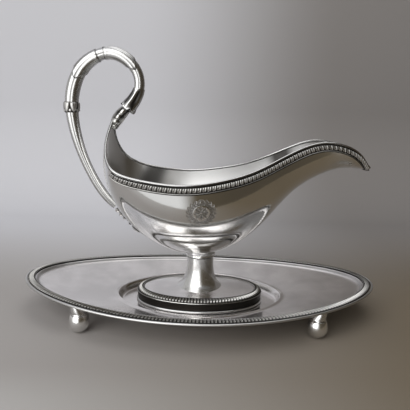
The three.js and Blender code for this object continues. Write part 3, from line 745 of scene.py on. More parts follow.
def tray_rings():
    """Half length, half width, pinch, height and rise of each ring of the tray's face,
    from its edge to the middle of the well, filled in between and smoothed by a moving
    average so that each turn of the sheet is rounded."""
    rim = [
        [BORDER_START, 0, TIP_RISE],
        [BORDER_WIDTH, 0, TIP_RISE],
        [BORDER_WIDTH + COVE_WIDTH * 0.4, -COVE_DEPTH * 0.75, TIP_RISE],
        [BORDER_WIDTH + COVE_WIDTH, -COVE_DEPTH, COVE_TIP_RISE],
    ]
    well = [
        [WELL_RIDGE_RUN, WELL_RIDGE_HEIGHT - WELL_RIDGE_DROP],
        [0, WELL_RIDGE_HEIGHT],
        [-0.9, WELL_RIDGE_HEIGHT - 0.8],
        [-WELL_WALL_RUN, WELL_FLOOR_HEIGHT],
        [-WELL_WALL_RUN - 4, WELL_FLOOR_HEIGHT],
    ]
    knots = [
        [STAND_HALF_LENGTH - inset, STAND_HALF_WIDTH - inset, STAND_PINCH, BORDER_TOP + z, rise]
        for inset, z, rise in rim
    ]
    knots += [
        [WELL_HALF_LENGTH + out, WELL_HALF_WIDTH + out, WELL_PINCH, z, 0] for out, z in well
    ]
    knots.append([1.5, 1.1, WELL_PINCH, WELL_FLOOR_HEIGHT, 0])
    steps = [3, 4, 5, 36, 6, 5, 7, 5, 14]
    parts = [i + np.arange(count) / count for i, count in enumerate(steps)]
    places = np.concatenate([*parts, [len(steps)]])
    columns = np.array(knots, float).T
    index = np.arange(len(knots))
    rings = np.stack([np.interp(places, index, column) for column in columns], -1)
    for _ in range(2):
        rings[1:-1] = (rings[:-2] + 2 * rings[1:-1] + rings[2:]) / 4
    return rings


def tray_plain(share, turn):
    """The plain of the tray between its cove and its well, at a share of the way in."""
    inset = BORDER_WIDTH + COVE_WIDTH
    a = lerp(STAND_HALF_LENGTH - inset, WELL_HALF_LENGTH + WELL_RIDGE_RUN, share)
    b = lerp(STAND_HALF_WIDTH - inset, WELL_HALF_WIDTH + WELL_RIDGE_RUN, share)
    pinch = lerp(STAND_PINCH, WELL_PINCH, share)
    z = lerp(BORDER_TOP - COVE_DEPTH, WELL_RIDGE_HEIGHT - WELL_RIDGE_DROP, share)
    return oval(turn, a, b, pinch, z, COVE_TIP_RISE * (1 - share))


def stand_tray():
    """An oval for each ring, and the same ones the sheet's thickness lower. Tarnish and
    painted shade lie in the cove, and a little of both at the foot of the well's wall."""
    a, b, pinch, z, rise = (column[:, None] for column in tray_rings().T)
    turn = turns(TRAY_SPOKES)[None, :]
    top = oval(turn, a, b, pinch, z, rise)
    under = oval(turn, a, b, pinch, z - STAND_SHEET, rise)
    # Tarnish and painted shade in the cove, and a little at the foot of the well's wall.
    cove = bell(STAND_HALF_LENGTH - a, BORDER_WIDTH + 1.1, 1.4)
    well = bell(a, WELL_HALF_LENGTH - 2.6, 0.9)
    dark = 0.9 * cove + 0.1 * well
    tarnish_and_shade = np.concatenate([dark[::-1], dark * 0])
    return Shape().add(np.concatenate([top[::-1], under]), tarnish_and_shade=tarnish_and_shade)


def stand_rim_wire():
    """A circle carried along the stand's edge."""
    turn, _ = even_turns(STAND_HALF_LENGTH, STAND_HALF_WIDTH, STAND_PINCH, 2.6)
    around = turns(WIRE_SPOKES)[None, :]
    inset = RIM_WIRE_RADIUS + RIM_WIRE_RADIUS * np.cos(around)
    height = WIRE_MIDDLE - BORDER_TOP + RIM_WIRE_RADIUS * np.sin(around)
    return Shape().add(border(turn[:, None], inset, height), hoop=True, tarnish_and_shade=0.35, satin=1.0)


def stand_leaf_band():
    """The border: a fillet, a row of leaf tips that point outwards, and a bead. It is
    darker towards the stand's two tips, by the fourth power of cos t."""
    pitch = bpy.context.scene.sauce_boat_ornament.border_pitch / MM
    across, base, fixed = BORDER_SECTION.T
    width = BORDER_WIDTH - SEAM - BORDER_START
    turn, along = even_turns(
        STAND_HALF_LENGTH - 4, STAND_HALF_WIDTH - 4, STAND_PINCH, pitch, POINTS_PER_LEAF
    )
    turn = turn[:, None]
    tips, pit = leaf_tips(along, (0.8 - across) / 0.78, 0.67)
    inset = BORDER_START + width * across
    face = border(turn, inset, SEAM + LEAF_BAND_RELIEF * (base + 0.95 * tips))
    under = border(turn, inset[::-4], SEAM)
    tarnish_and_shade = leaf_tarnish_and_shade(0.15 + 0.45 * np.cos(turn) ** 4, 1, pit, fixed)
    tarnish_and_shade = np.concatenate([tarnish_and_shade, np.ones(under.shape[:2])], axis=1)
    return Shape().add(np.concatenate([face, under], axis=1), hoop=True, tarnish_and_shade=tarnish_and_shade)


def ball_foot(x, y):
    """A ball, drawn out above its middle like an egg, and cut flat where it rests on the
    table and where its neck sits."""
    polar = np.linspace(0.05, math.pi - 0.05, BALL_SPOKES)[:, None]
    around = turns(BALL_SPOKES)[None, :]
    rise = np.where(np.cos(polar) < 0, EGG_RISE, BALL_RADIUS)
    z = np.clip(BALL_MIDDLE - rise * np.cos(polar), 0, BALL_TOP)
    reach = BALL_REACH * np.sin(polar)
    return Shape().add(
        stacked(x + reach * np.cos(around), y + reach * np.sin(around), z), satin=0.7
    )


def ball_neck(x, y):
    """The rest of the egg: its radius is the reach times the root of 1 less the squared
    share of the egg's rise. It leans outwards, and its top follows the underside of the
    tray, which it laps a little."""
    lean = math.copysign(NECK_LEAN, x)
    around = turns(NECK_SPOKES)[None, :]
    start = BALL_TOP + SEAM
    low = np.array([0, 0, 0.4, 0.75])[:, None]
    radius = BALL_REACH * np.sqrt(1 - ((low + start - BALL_MIDDLE) / EGG_RISE) ** 2)
    radius[0] *= 0.02
    t = np.linspace(0, 1, 12)[:, None]
    radius = np.concatenate([radius, radius[-1] - NECK_TAPER * t])
    px, py = x + radius * np.cos(around), y + radius * np.sin(around)
    guess = math.atan2(y / STAND_HALF_WIDTH, x / STAND_HALF_LENGTH)
    tray = seek_height(tray_plain, px[-1] + NECK_HEIGHT * lean, py[-1], 0.5, guess)
    top = tray[None, :] - STAND_SHEET + NECK_LAP
    z = np.concatenate([start + low + 0 * around, lerp(start + 0.9, top, t**0.8)])
    rows = stacked(px + lean * (z - start), py, z)
    lid = rows[-1:].copy()
    middle = lid[..., :2].mean(axis=1, keepdims=True)
    lid[..., :2] = lerp(middle, lid[..., :2], 0.4)
    return Shape().add(np.concatenate([rows, lid]), tarnish_and_shade=0.25, satin=0.7)


# Foot and stem


def foot_hoop(section, turn, tarnish_and_shade=0.0):
    """A hoop that follows the foot's oval, from (inset, height) points of its section."""
    inset, z = section[..., 0], section[..., 1]
    a, b = FOOT_HALF_LENGTH - inset, FOOT_HALF_WIDTH - inset
    return Shape().add(oval(turn[:, None], a, b, 0.0, z + LIFT), hoop=True, tarnish_and_shade=tarnish_and_shade)


def foot_wire():
    """A wire round the foot's lower edge: five rounded corners carried round the oval."""
    section = [
        [FOOT_SHEET, 0],
        [-FOOT_WIRE_REACH * 0.6, 0],
        [-FOOT_WIRE_REACH, FOOT_WIRE_HEIGHT * 0.5],
        [-FOOT_WIRE_REACH * 0.4, FOOT_WIRE_HEIGHT],
        [FOOT_SHEET, FOOT_WIRE_HEIGHT],
    ]
    return foot_hoop(rounded(section, 0.5), turns(FOOT_SPOKES), 0.35)


def foot_band():
    """The foot's upright wall: a rectangle carried round the oval. It is dark all over,
    tarnish and a painted dark reflection.
    """
    low, high = FOOT_WIRE_HEIGHT + SEAM, FOOT_BAND_HEIGHT
    section = [[0, low], [0, high], [FOOT_SHEET, high], [FOOT_SHEET, low]]
    # The wall is darkened all over to nearly black: tarnish and a painted dark reflection.
    return foot_hoop(rounded(section, 0.25), turns(FOOT_SPOKES), 1.0)


def foot_leaf_moulding():
    """A bead over the band, a sloping row of leaf tips that point down and outwards,
    and a fillet against the plate."""
    pitch = bpy.context.scene.sauce_boat_ornament.border_pitch / MM
    width, rise = FOOT_MOULDING_WIDTH, FOOT_MOULDING_RISE
    profile = np.array(
        [
            [-0.2, 0, LEAF],
            [-0.5, 0.2, LEAF],
            [-0.4, 0.45, LEAF],
            [0.0, 0.5, 1.0],
            [0.2, 0.4, 1.0],
            [0.5, 0.7, LEAF],
            [width * 0.18, rise * 0.38, LEAF],
            [width * 0.26, rise * 0.5, LEAF],
            [width * 0.35, rise * 0.6, LEAF],
            [width * 0.45, rise * 0.69, LEAF],
            [width * 0.55, rise * 0.75, LEAF],
            [width * 0.65, rise * 0.8, LEAF],
            [width * 0.75, rise * 0.82, 1.0],
            [width * 0.8, rise * 0.95, 1.0],
            [width * 0.92, rise, 0.5],
            [width, rise * 0.85, 0.5],
            [width, 0, LEAF],
        ]
    )
    inset, height, fixed = profile.T
    turn, along = even_turns(FOOT_HALF_LENGTH, FOOT_HALF_WIDTH, 0.0, pitch, POINTS_PER_LEAF)
    tips, pit = leaf_tips(along, (0.76 - inset / width) / 0.68, 0.67)
    base = np.stack([inset, FOOT_BAND_HEIGHT + SEAM + height], -1)
    section = base + (tips * FOOT_LEAF_RELIEF)[..., None] * np.array(FOOT_LEAF_WAY)
    tarnish_and_shade = leaf_tarnish_and_shade(0.1 + 0.4 * np.cos(turn)[:, None] ** 4, 1, pit, fixed)
    return foot_hoop(section, turn, tarnish_and_shade)


def foot_plate():
    """An oval plate, domed towards the stem by the power 1.6 of the way in."""
    edge = FOOT_MOULDING_WIDTH + SEAM
    inner = STEM_BASE_RADIUS + SEAM
    share = np.linspace(0, 1, 26)[:, None]
    a = lerp(FOOT_HALF_LENGTH - edge, inner, share)
    b = lerp(FOOT_HALF_WIDTH - edge, inner, share)
    z = FOOT_PLATE_TOP + FOOT_DOME_RISE * share**1.6 + LIFT
    turn = turns(FOOT_SPOKES)[None, :]
    upper = oval(turn, a, b, 0.0, z)
    lower = oval(turn, a[::-1], b[::-1], 0.0, z[::-1] - FOOT_SHEET)
    return Shape().add(np.concatenate([upper, lower]), hoop=True)


def lathe(profile, top=None, tarnish_and_shade=0.0, satin=0.0):
    """A ring turned about the upright axis from a closed (radius, height) outline. Where
    top is given, heights that pass it are cut to it."""
    r, z = np.asarray(profile, float).T
    turn = turns(LATHE_SPOKES)[:, None]
    x, y = r * np.cos(turn), r * np.sin(turn)
    if top:
        z = np.minimum(z, top(x, y))
    return Shape().add(stacked(x, y, z), hoop=True, tarnish_and_shade=tarnish_and_shade, satin=satin)


def stem():
    """A trumpet: its radius falls from the base to the neck by the power 2.3 of the
    height that is left, and its foot spreads over the plate by the power 12 of it."""
    foot = FOOT_PLATE_TOP + FOOT_DOME_RISE
    share = np.linspace(0, 1, 60) ** 1.4
    left = 1 - share
    radius = lerp(STEM_NECK_RADIUS, STEM_BASE_RADIUS, left**2.3) + STEM_SPREAD * left**12
    height = lerp(foot, STEM_NECK_HEIGHT, share) - 0.8 * left**24
    top = bowl_underside() - COLLAR_HEIGHT
    radius = np.concatenate([[STEM_BASE_RADIUS + 1], radius, [STEM_NECK_RADIUS + 0.2]])
    height = np.concatenate([[foot - FOOT_SHEET], height, [top]])
    outer = np.stack([radius, height + LIFT], -1)
    inner = outer[::-3] - [STEM_SHEET, 0]
    return lathe(np.concatenate([outer, inner]), tarnish_and_shade=0.15, satin=0.6)


def stem_collar():
    """A turned ring, whose top follows the underside of the bowl."""
    low = bowl_underside() - COLLAR_HEIGHT + SEAM + LIFT
    inner = STEM_NECK_RADIUS - STEM_SHEET
    profile = [
        [inner, low],
        [COLLAR_RADIUS - 1.2, low],
        [COLLAR_RADIUS, low + 0.9],
        [COLLAR_RADIUS - 0.5, low + 1.8],
        [COLLAR_RADIUS + 0.6, low + 2.6],
        [COLLAR_RADIUS + 0.8, low + 6],
        [inner, low + 6],
    ]

    def top(x, y):
        return seek_height(bowl_point, x, y, 0.45, KEEL) + 0.4

    return lathe(rounded(profile, 0.5), top)


# Bowl

bowl_curves = [spline(column) for column in BOWL_STATIONS.T]


def bowl_point(u, v):
    """A point of the bowl's outer face. u runs from the peak at the back to the tip of
    the lip, and v from the near rim at -1, over the keel at 0, to the far rim at 1. Each
    section wraps round by its angle W: depth is (cos vW - cos W) / (1 - cos W) from rim
    to keel, and the half width is multiplied by sin vW / sin W."""
    rim_x, rim_z, half, keel_x, keel_z, wrap = (curve(u) for curve in bowl_curves)
    wrap = np.radians(wrap)
    angle = v * wrap
    depth = (np.cos(angle) - np.cos(wrap)) / (1 - np.cos(wrap))
    y = half * np.sin(angle) / np.sin(wrap)
    return stacked(lerp(rim_x, keel_x, depth), y, lerp(rim_z, keel_z, depth) + LIFT)


def slope_along(u, v):
    """The way along the bowl: the difference of two near points."""
    step = 1e-3
    return bowl_point(np.minimum(u + step, 1), v) - bowl_point(np.maximum(u - step, 0), v)


def bowl_normal(u, v):
    """The way out of the bowl: the cross product of its two slopes."""
    step = 1e-3
    across = bowl_point(u, v + step) - bowl_point(u, v - step)
    return unit(np.cross(across, slope_along(u, v)))


def wall_room(u):
    """The share of the wall's thickness that fits near the two pointed ends."""
    return np.minimum(1, bowl_curves[2](u) / 3)


def bowl_offset(u, v, distance):
    """A point at a distance out of the bowl's outer face, or into its wall where that is
    less than 0."""
    shift = np.where(distance < 0, distance * wall_room(u), distance)
    return bowl_point(u, v) + bowl_normal(u, v) * shift[..., None]


def bowl_underside():
    """The lowest height of the keel over the boat's own foot."""
    return bowl_point(np.linspace(0, 1, 401), KEEL)[:, 2].min() - LIFT


def girth_table(u):
    """Lengths along each section from the near rim to points between it and the keel."""
    v = np.linspace(NEAR_RIM, KEEL, 65)
    points = bowl_point(u[:, None], v[None, :])
    lengths = np.linalg.norm(np.diff(points, axis=1), axis=2)
    return v, np.concatenate([np.zeros((len(u), 1)), np.cumsum(lengths, axis=1)], axis=1)


def down_from_rim(u, distance):
    """The v that lies each distance from the near rim along the section, by linear
    interpolation in the table of lengths."""
    v, table = girth_table(u)
    i = (table[:, None, :] <= distance[..., None]).sum(axis=2) - 1
    i = np.clip(i, 0, len(v) - 2)
    start = np.take_along_axis(table, i, axis=1)
    end = np.take_along_axis(table, i + 1, axis=1)
    found = v[i] + (distance - start) / (end - start) / (len(v) - 1)
    return np.where(distance < 0, NEAR_RIM + distance / table[:, -1:], found)


def bowl_rows(count):
    """Rows along the bowl, closer together near its two ends: 0.4 of an even share and
    0.6 of half a cosine wave."""
    t = np.linspace(0, 1, count)
    return lerp(t, 0.5 - 0.5 * np.cos(math.pi * t), 0.6)


def wreath(x, z):
    """How far inside an engraved line each point lies, from 0 to 1. x and z are
    millimetres from the middle of an oval wreath: two laurel branches that rise from a
    tied bow and nearly meet on top, with leaves in pairs and berries between them, and
    a flower of eight petals in the middle."""
    ornament = bpy.context.scene.sauce_boat_ornament
    wide, tall = (size / MM / 2 for size in (ornament.wreath_width, ornament.wreath_height))
    line = ornament.engraved_line / MM
    bow = -tall * BOW_PLACE
    mark = np.zeros_like(x)

    def draw(distance, width=line):
        np.maximum(mark, smooth(1.3 - distance / width), out=mark)

    def leaf(cx, cz, angle, length, width):
        """An almond between two arcs, with a midrib: its edge is where the point's
        offset across is width times the half circle over its share along."""
        dx, dz = x - cx, z - cz
        along = (dx * math.cos(angle) + dz * math.sin(angle)) / length
        across = np.abs(dz * math.cos(angle) - dx * math.sin(angle))
        near = (along > 0) & (along < 1)
        draw(np.where(near, np.abs(across - width * dome(2 * along - 1)), UNCUT))
        draw(np.where(near & (along < 0.85), across, UNCUT), line * 0.7)

    def side_branch(side):
        reach_x, reach_z = wide * WREATH_BRANCH, tall * WREATH_BRANCH
        branch = np.abs(np.hypot(x / reach_x, z / reach_z) - 1) * reach_x
        inside = (x * side > 0.4) & (z < tall * 0.78)
        draw(np.where(inside, branch, UNCUT), line * 0.8)
        for k in range(WREATH_PAIRS):
            turn = math.radians(WREATH_FIRST + k * WREATH_STEP)
            c, s = math.cos(turn), math.sin(turn)
            cx, cz = side * reach_x * c, reach_z * s
            heading = math.atan2(tall * c, -wide * s)
            for lean in (-WREATH_LEAN, WREATH_LEAN):
                angle = heading + lean
                leaf(cx, cz, math.pi - angle if side < 0 else angle, *WREATH_LEAF)
            if k % 2:
                berry = np.hypot(x - cx - side * 0.9 * c, z - cz - 0.9 * s)
                draw(np.abs(berry - 0.32))

    def side_bow(side):
        loop = np.hypot((x - side * 1.8) / 1.5, (z - bow - 0.2) / 0.75)
        draw(np.abs(loop - 1) * 0.9)
        tail = np.abs(x - side * (0.7 + 0.75 * (bow - z)))
        draw(np.where((z < bow) & (z > -tall * 1.02), tail, UNCUT))

    for side in (-1, 1):
        side_branch(side)
        side_bow(side)
    draw(np.abs(np.hypot(x, z - bow) - 0.45))
    for k in range(FLOWER_PETALS):
        for start, ahead, length, width in FLOWER_LEAVES:
            way = TURN * (k + 0.5) / FLOWER_PETALS + ahead
            leaf(start * math.cos(way), start * math.sin(way), way, length, width)
    draw(np.abs(np.hypot(x, z) - 0.8))
    draw(np.hypot(x, z) + 0.1)
    return mark


def thick_near(grid, centre, half, extra):
    """A sorted grid with extra even places within half of a centre."""
    outside = grid[np.abs(grid - centre) > half]
    inside = np.linspace(centre - half, centre + half, extra)
    return np.unique(np.concatenate([outside, inside]))


def bowl():
    """The wall: rings that run over the outer face and back over the inner one. Rows and
    columns lie closer together round the engraving, which is cut into the wall. Inside,
    the far half of the wall carries painted shade, most in two bands across, and the outer
    face dulls towards the lip."""
    ornament = bpy.context.scene.sauce_boat_ornament
    middle_u, middle_v = ornament.wreath_along, ornament.wreath_down
    u = thick_near(bowl_rows(190), middle_u, 0.066, 136)
    v = thick_near(np.linspace(-1, 1, 110), middle_v, 0.135, 140)
    grid_u, grid_v = u[:, None], v[None, :]
    face = bowl_point(grid_u, grid_v)
    centre = bowl_point(middle_u, middle_v)
    ahead = unit(bowl_point(middle_u + 0.01, middle_v) - centre)
    up = unit(centre - bowl_point(middle_u, middle_v + 0.01))
    up = unit(up - ahead * (up @ ahead))
    offset = face - centre
    near = ((offset**2).sum(axis=-1) < 24**2) & (grid_v < 0)
    mark = np.where(near, wreath(offset @ ahead, offset @ up), 0.0)
    depth = mark * ornament.engraved_depth / MM
    face = face - bowl_normal(grid_u, grid_v) * depth[..., None]
    inner_v = np.linspace(1, -1, 70)[None, :]
    none = 0 * (grid_u + inner_v)
    inner = bowl_offset(grid_u, inner_v, none - BOWL_SHEET)
    # Painted shade on the inside of the far wall, strongest in two bands across.
    painted_inner_shade = 0.33 + 0.62 * np.exp(-(((grid_u - 0.31) / 0.035) ** 4))
    painted_inner_shade = (painted_inner_shade + 0.8 * bell(grid_u, 0.7, 0.04)) * np.clip(inner_v * 4, 0, 1)
    lip = smooth((grid_u - 0.76) / 0.1) + 0 * mark
    return Shape().add(
        np.concatenate([face, inner], axis=1),
        tarnish_and_shade=np.concatenate([0 * mark, painted_inner_shade], axis=1),
        engraved=np.concatenate([mark, none], axis=1),
        satin=np.concatenate([lip, none + 1], axis=1),
    )


def rim_path(start, pitch, per_leaf=1):
    """Places along the rim that part it into whole leaves, and each one's leaf count."""
    path = bowl_point(np.linspace(start, 1, 3000), NEAR_RIM)
    return whole_leaves(path, start, 1, pitch, per_leaf)


def mitred(rows, side):
    """Carries the last row on past the lip and stops every row at the middle plane."""
    ahead = unit(rows[-1] - rows[-2]) * LIP_OVERRUN
    share = (-SEAM / 2 - rows[-1][:, 1]) / np.maximum(ahead[:, 1], 1e-6)
    last = rows[-1] + ahead * np.clip(share, 0, 1)[:, None]
    rows = np.concatenate([rows, last[None]])
    rows[..., 1] = np.minimum(rows[..., 1], -SEAM / 2) * -side
    return rows


def rim_leaf_strip(side):
    """The strip outside the wall: a groove under the wire, a row of leaf tips that hang
    down, a fine bead and a dark seam along the wall. It narrows where the bowl's girth
    leaves less room, and is dark at the lip."""
    pitch = bpy.context.scene.sauce_boat_ornament.leaf_pitch / MM
    u, along = rim_path(RIM_STRIP_START, pitch, POINTS_PER_LEAF)
    down, out, fixed = RIM_STRIP_SECTION.T
    row = np.isnan(fixed)
    tips, pit = leaf_tips(along, np.where(row, (down - 0.15) / 3.7, 0), 0.88)
    tarnish_and_shade = leaf_tarnish_and_shade(0.2, 0.95, pit, fixed)
    tarnish_and_shade[-3:] = 1
    tarnish_and_shade = np.concatenate([tarnish_and_shade, tarnish_and_shade[-1:]])
    _, table = girth_table(u)
    fit = np.minimum(1, table[:, -1:] * 0.85 / RIM_STRIP_WIDTH)
    v = down_from_rim(u, down * fit)
    rows = bowl_offset(u[:, None], v, out + RIM_LEAF_RELIEF * tips)
    return Shape().add(mitred(rows, side), tarnish_and_shade=tarnish_and_shade)


def rim_wire(side):
    """A round wire on the edge of the wall, half darkened as a painted dark reflection."""
    u, _ = rim_path(RIM_WIRE_START, 1.2)
    edge, out = bowl_point(u, NEAR_RIM), bowl_normal(u, NEAR_RIM)
    up = unit(np.cross(out, slope_along(u, NEAR_RIM)))
    inwards = out * (BOWL_SHEET / 2) * wall_room(u)[:, None]
    centre = edge + up * (SEAM + BOWL_WIRE_RADIUS) - inwards
    around = turns(WIRE_SPOKES)[None, :, None]
    way = up[:, None] * np.cos(around) - out[:, None] * np.sin(around)
    # The wire is darkened by half: a painted dark reflection.
    return Shape().add(mitred(centre[:, None] + BOWL_WIRE_RADIUS * way, side), tarnish_and_shade=0.5)


# Handle

handle_curves = [spline(column) for column in HANDLE_POINTS.T]


def handle_frame(t):
    """The centre, the way out of the loop and the radius at a place from 0 to 1. The way
    out is the tangent turned by a right angle in the handle's plane."""
    step = 1e-3
    x, z, radius = (curve(t) for curve in handle_curves)
    dx, dz = (curve(t + step) - curve(t - step) for curve in handle_curves[:2])
    return stacked(x, 0.0, z + LIFT), unit(stacked(dz, 0.0, -dx)), radius


def handle_point(t, turn, reach):
    """A point at a reach from the centreline. The turn is 0 on the loop's outside."""
    centre, out, _ = handle_frame(t)
    way = out * np.cos(turn)[..., None] + HANDLE_SIDE * np.sin(turn)[..., None]
    return centre + way * reach[..., None]


def handle_length():
    """The length of the handle's centreline."""
    return lengths_along(handle_frame(np.linspace(0, 1, 600))[0])[-1]


def reeded(t, turn, depth=REED_DEPTH):
    """The reach of four reeds side by side: the radius, less a groove where the double
    turn has no sine."""
    ridge = np.abs(np.sin(2 * turn))
    reach = handle_frame(t)[2] * (1.1 - depth * (1 - ridge) ** 1.3)
    return reach, np.clip(1 - 2.6 * ridge, 0, 1)


def handle_reeds(start, end, count):
    """The reeds between two places on the centreline."""
    share, turn = share_and_turn(count, REED_SPOKES)
    t = lerp(start, end, share)
    reach, groove = reeded(t, turn)
    tarnish_and_shade = lerp(0.35, 0.95, groove)
    return Shape().add(handle_point(t, turn, reach), tarnish_and_shade=tarnish_and_shade, satin=0.6)


def sleeve(start, end, count, around, wall):
    """A closed sleeve round the reeds. Start and end may vary with the turn. Wall is a
    function of the share along it and the turn, and gives a height and a darkening, which is
    tarnish and painted shade."""
    share, turn = share_and_turn(count, around)
    t = lerp(start, end, share)
    reach, _ = reeded(t, turn)
    height, tarnish_and_shade = wall(share, turn)
    outside = handle_point(t, turn, reach + height)
    inside = handle_point(t, turn, reach * 0.9)[::-2]
    tarnish_and_shade = np.concatenate([lerp(0.35, 1, tarnish_and_shade), np.ones(inside.shape[:2])])
    rows = np.concatenate([outside, inside])
    return Shape().add(rows, hoop=True, tarnish_and_shade=tarnish_and_shade, satin=0.6)


def handle_band():
    """A tie of husks round the reeds: a row of buds, wide above and pointed below, with
    beads between their points and a fine fillet on either side."""
    half = BAND_LENGTH / 2 / handle_length()

    def wall(share, turn):
        place = turn / TURN * BAND_HUSKS
        across = np.abs(place + 0.5 - np.floor(place + 0.5) - 0.5)
        width = 0.47 * np.clip(1 - (share - 0.1) ** 2 * 1.15, 0.02, 1) ** 0.8
        split = 0.35 * bell(across, 0, 0.08) * smooth(1.2 - 2 * share)
        swell = np.sqrt(np.clip(np.sin(math.pi * np.clip(share, 0.03, 0.97)), 0, 1))
        between = np.abs(place - np.floor(place) - 0.5)
        bead = dome(np.hypot(between / 0.2, (share - 0.82) / 0.14))
        relief = np.maximum(dome(across / width) * (1 - split) * swell, 0.8 * bead)
        sides = smooth(np.minimum(share, 1 - share) / 0.14)
        height = 0.1 + BAND_REACH * (0.45 * sides + 0.6 * relief)
        return height, np.clip(1 - 1.8 * relief, 0, 1)

    return sleeve(BAND_PLACE - half * 0.6, BAND_PLACE + half, 30, BAND_SPOKES, wall)


def handle_sheath(start, end, toward):
    """A leaf that wraps the reeds. Its far edge runs on to a point on each side of the
    handle by the cube of the turn's sine, and veins fan towards the points."""
    tip = np.abs(np.sin(turns(SHEATH_SPOKES))) ** 3 * SHEATH_TIP / handle_length()
    first = start / HANDLE_SPANS - (tip if toward < 0 else 0)
    last = end / HANDLE_SPANS + (tip if toward > 0 else 0)

    def wall(share, turn):
        lip = lerp(0.25, 1, smooth(np.minimum(share, 1 - share) / 0.06))
        far = share if toward > 0 else 1 - share
        vein = np.abs(np.sin(4 * turn + math.pi / 2)) ** 6 * (0.35 + 0.65 * far)
        mouth = 0.5 * bell(1 - far, 0.96, 0.06)
        height = SHEATH_WALL * lip * (0.75 + 0.5 * far) - 0.28 * vein * far + 0.35 * mouth
        return 0.12 + height, np.clip(vein * 0.6 + (1 - lip), 0, 1)

    return sleeve(first, last, 36, SHEATH_SPOKES, wall)


def handle_calyx():
    """The flared mouth, whose lip is cut into pointed petals. Each petal is half a cosine
    wave round the lip, longest on its middle, and dips between its neighbours."""
    share, turn = share_and_turn(26, CALYX_PETALS * PETAL_SPOKES)
    petal = 0.5 - 0.5 * np.cos(CALYX_PETALS * turn)
    t = lerp(CALYX_START, CALYX_END, share * (1 - 0.24 * share**1.5 * (1 - petal**0.6)))
    reach, _ = reeded(t, turn, REED_DEPTH * 0.5)
    flare = lerp(reach + SEAM + 0.2, CALYX_LIP_RADIUS, share**1.15)
    groove = (1 - petal) ** 2 * np.sin(math.pi * share**0.8)
    rib = bell(petal, 1, 0.1) * np.sin(math.pi * share) * 0.3
    dip = flare - 0.7 * groove
    outer = handle_point(t, turn, dip + rib - 0.25 * share * (1 - petal))
    inner = handle_point(t, turn, dip - CALYX_WALL)[::-1]
    veins = 0.6 * share * np.abs(np.cos(2 * CALYX_PETALS * turn + 0.8)) ** 6
    tarnish_and_shade = np.clip(0.3 + groove * 1.6 + veins, 0, 1)
    # The inside of the mouth is dark: tarnish and painted shade.
    tarnish_and_shade = np.concatenate([tarnish_and_shade, np.full(share.shape, 0.85)])
    return Shape().add(np.concatenate([outer, inner]), hoop=True, tarnish_and_shade=tarnish_and_shade)


def peak_leaf():
    """A cupped acanthus leaf between the mouth and the peak of the back. Its middle line
    is a quadratic curve, its width swells and narrows in lobes, its front is fluted, and
    berries sit in the mouth."""
    peak = bowl_point(0.0, KEEL)
    top = handle_frame(0.25 / HANDLE_SPANS)[0]
    foot = peak + [1.9, 0, -7.1]
    shoulder = peak + [2.2, 0, 0.9]
    share, turn = share_and_turn(60, PEAK_LEAF_SPOKES)
    t = share[:, :1, None]
    path = (1 - t) ** 2 * foot + 2 * t * (1 - t) * shoulder + t**2 * top
    tangent = unit(2 * (1 - t) * (shoulder - foot) + 2 * t * (top - shoulder))
    front = np.cross(tangent, HANDLE_SIDE)
    swell = 0.26 + 0.74 * np.sin(math.pi * (0.06 + share * 0.8)) ** 0.9
    lobes = 1 - 0.2 * (1 - np.abs(np.sin(4.2 * math.pi * share + 0.6))) ** 1.6
    edge = np.abs(np.cos(turn))
    flute = 0.5 + 0.5 * np.cos(9 * np.arctan2(edge, 0.7) + 7 * share)
    wide = PEAK_LEAF_WIDTH / 2 * swell * lerp(1, lobes, edge) * np.cos(turn)
    thick = PEAK_LEAF_THICKNESS / 2 * swell * (1 - 0.3 * flute) * np.sin(turn)
    rows = path + HANDLE_SIDE * wide[..., None] + front * thick[..., None]
    ridge = bell(edge, 1, 0.07) + bell(edge, 0, 0.12)
    tarnish_and_shade = np.clip(0.35 + flute * 0.7 + (1 - lobes) * 2 * edge, 0, 1) * (1 - 0.8 * ridge)
    shape = Shape().add(rows, tarnish_and_shade=tarnish_and_shade)
    for k in (-1, 0, 1):
        aside = abs(k)
        shape.add(berry(top + [0.9 * aside - 0.6, k * BERRY_RADIUS * 1.35, 0.4 - 0.8 * aside]))
    return shape


def berry(middle):
    """Rings of a small sphere."""
    polar = np.linspace(0.1, math.pi - 0.1, 12)[:, None]
    around = turns(18)[None, :]
    x, y = np.sin(polar) * np.cos(around), np.sin(polar) * np.sin(around)
    return middle + BERRY_RADIUS * stacked(x, y, np.cos(polar))


def root_pendant():
    """The ornament on the keel below the handle: a leafy knob, smaller knobs, a bead, a
    long drop and its tip. Its height is the greatest of their half ellipses."""
    dense = np.linspace(PENDANT_FIRST, PENDANT_FIRST + 0.16, 800)
    length = lengths_along(bowl_point(dense, KEEL))
    s = np.linspace(0, 1, 90)[:, None]
    u = np.interp(s * PENDANT_LENGTH, length, dense)
    knobs = [size * dome((s - middle) / half) for middle, half, size in PENDANT_KNOBS]
    relief = np.maximum(np.max(knobs, axis=0), 0.22)
    _, table = girth_table(u[:, 0])
    half = (PENDANT_WIDTH / 2) * (0.25 + 0.75 * relief) / table[:, -1:]
    v = np.linspace(-1, 1, 25)[None, :]
    crown = relief * dome(v)
    knuckle = 1 - 0.14 * np.cos(3 * math.pi * v) * (s < 0.4)
    over = bowl_offset(u, v * half, SEAM * 0.3 + PENDANT_RELIEF * crown * knuckle)
    back = v[:, ::-3] * half
    under = bowl_offset(u, back, np.full(back.shape, -SEAM))
    tarnish_and_shade = np.clip(1.75 - 2.5 * crown, 0, 1)
    tarnish_and_shade = np.concatenate([tarnish_and_shade, np.ones(back.shape)], axis=1)
    return Shape().add(np.concatenate([over, under], axis=1), tarnish_and_shade=tarnish_and_shade)


# Settings that a user would change


def colour_setting(name, description, default):
    """A colour, each of whose parts runs from 0 to 1."""
    return FloatVectorProperty(
        name=name, description=description, default=default, subtype="COLOR", min=0, max=1
    )


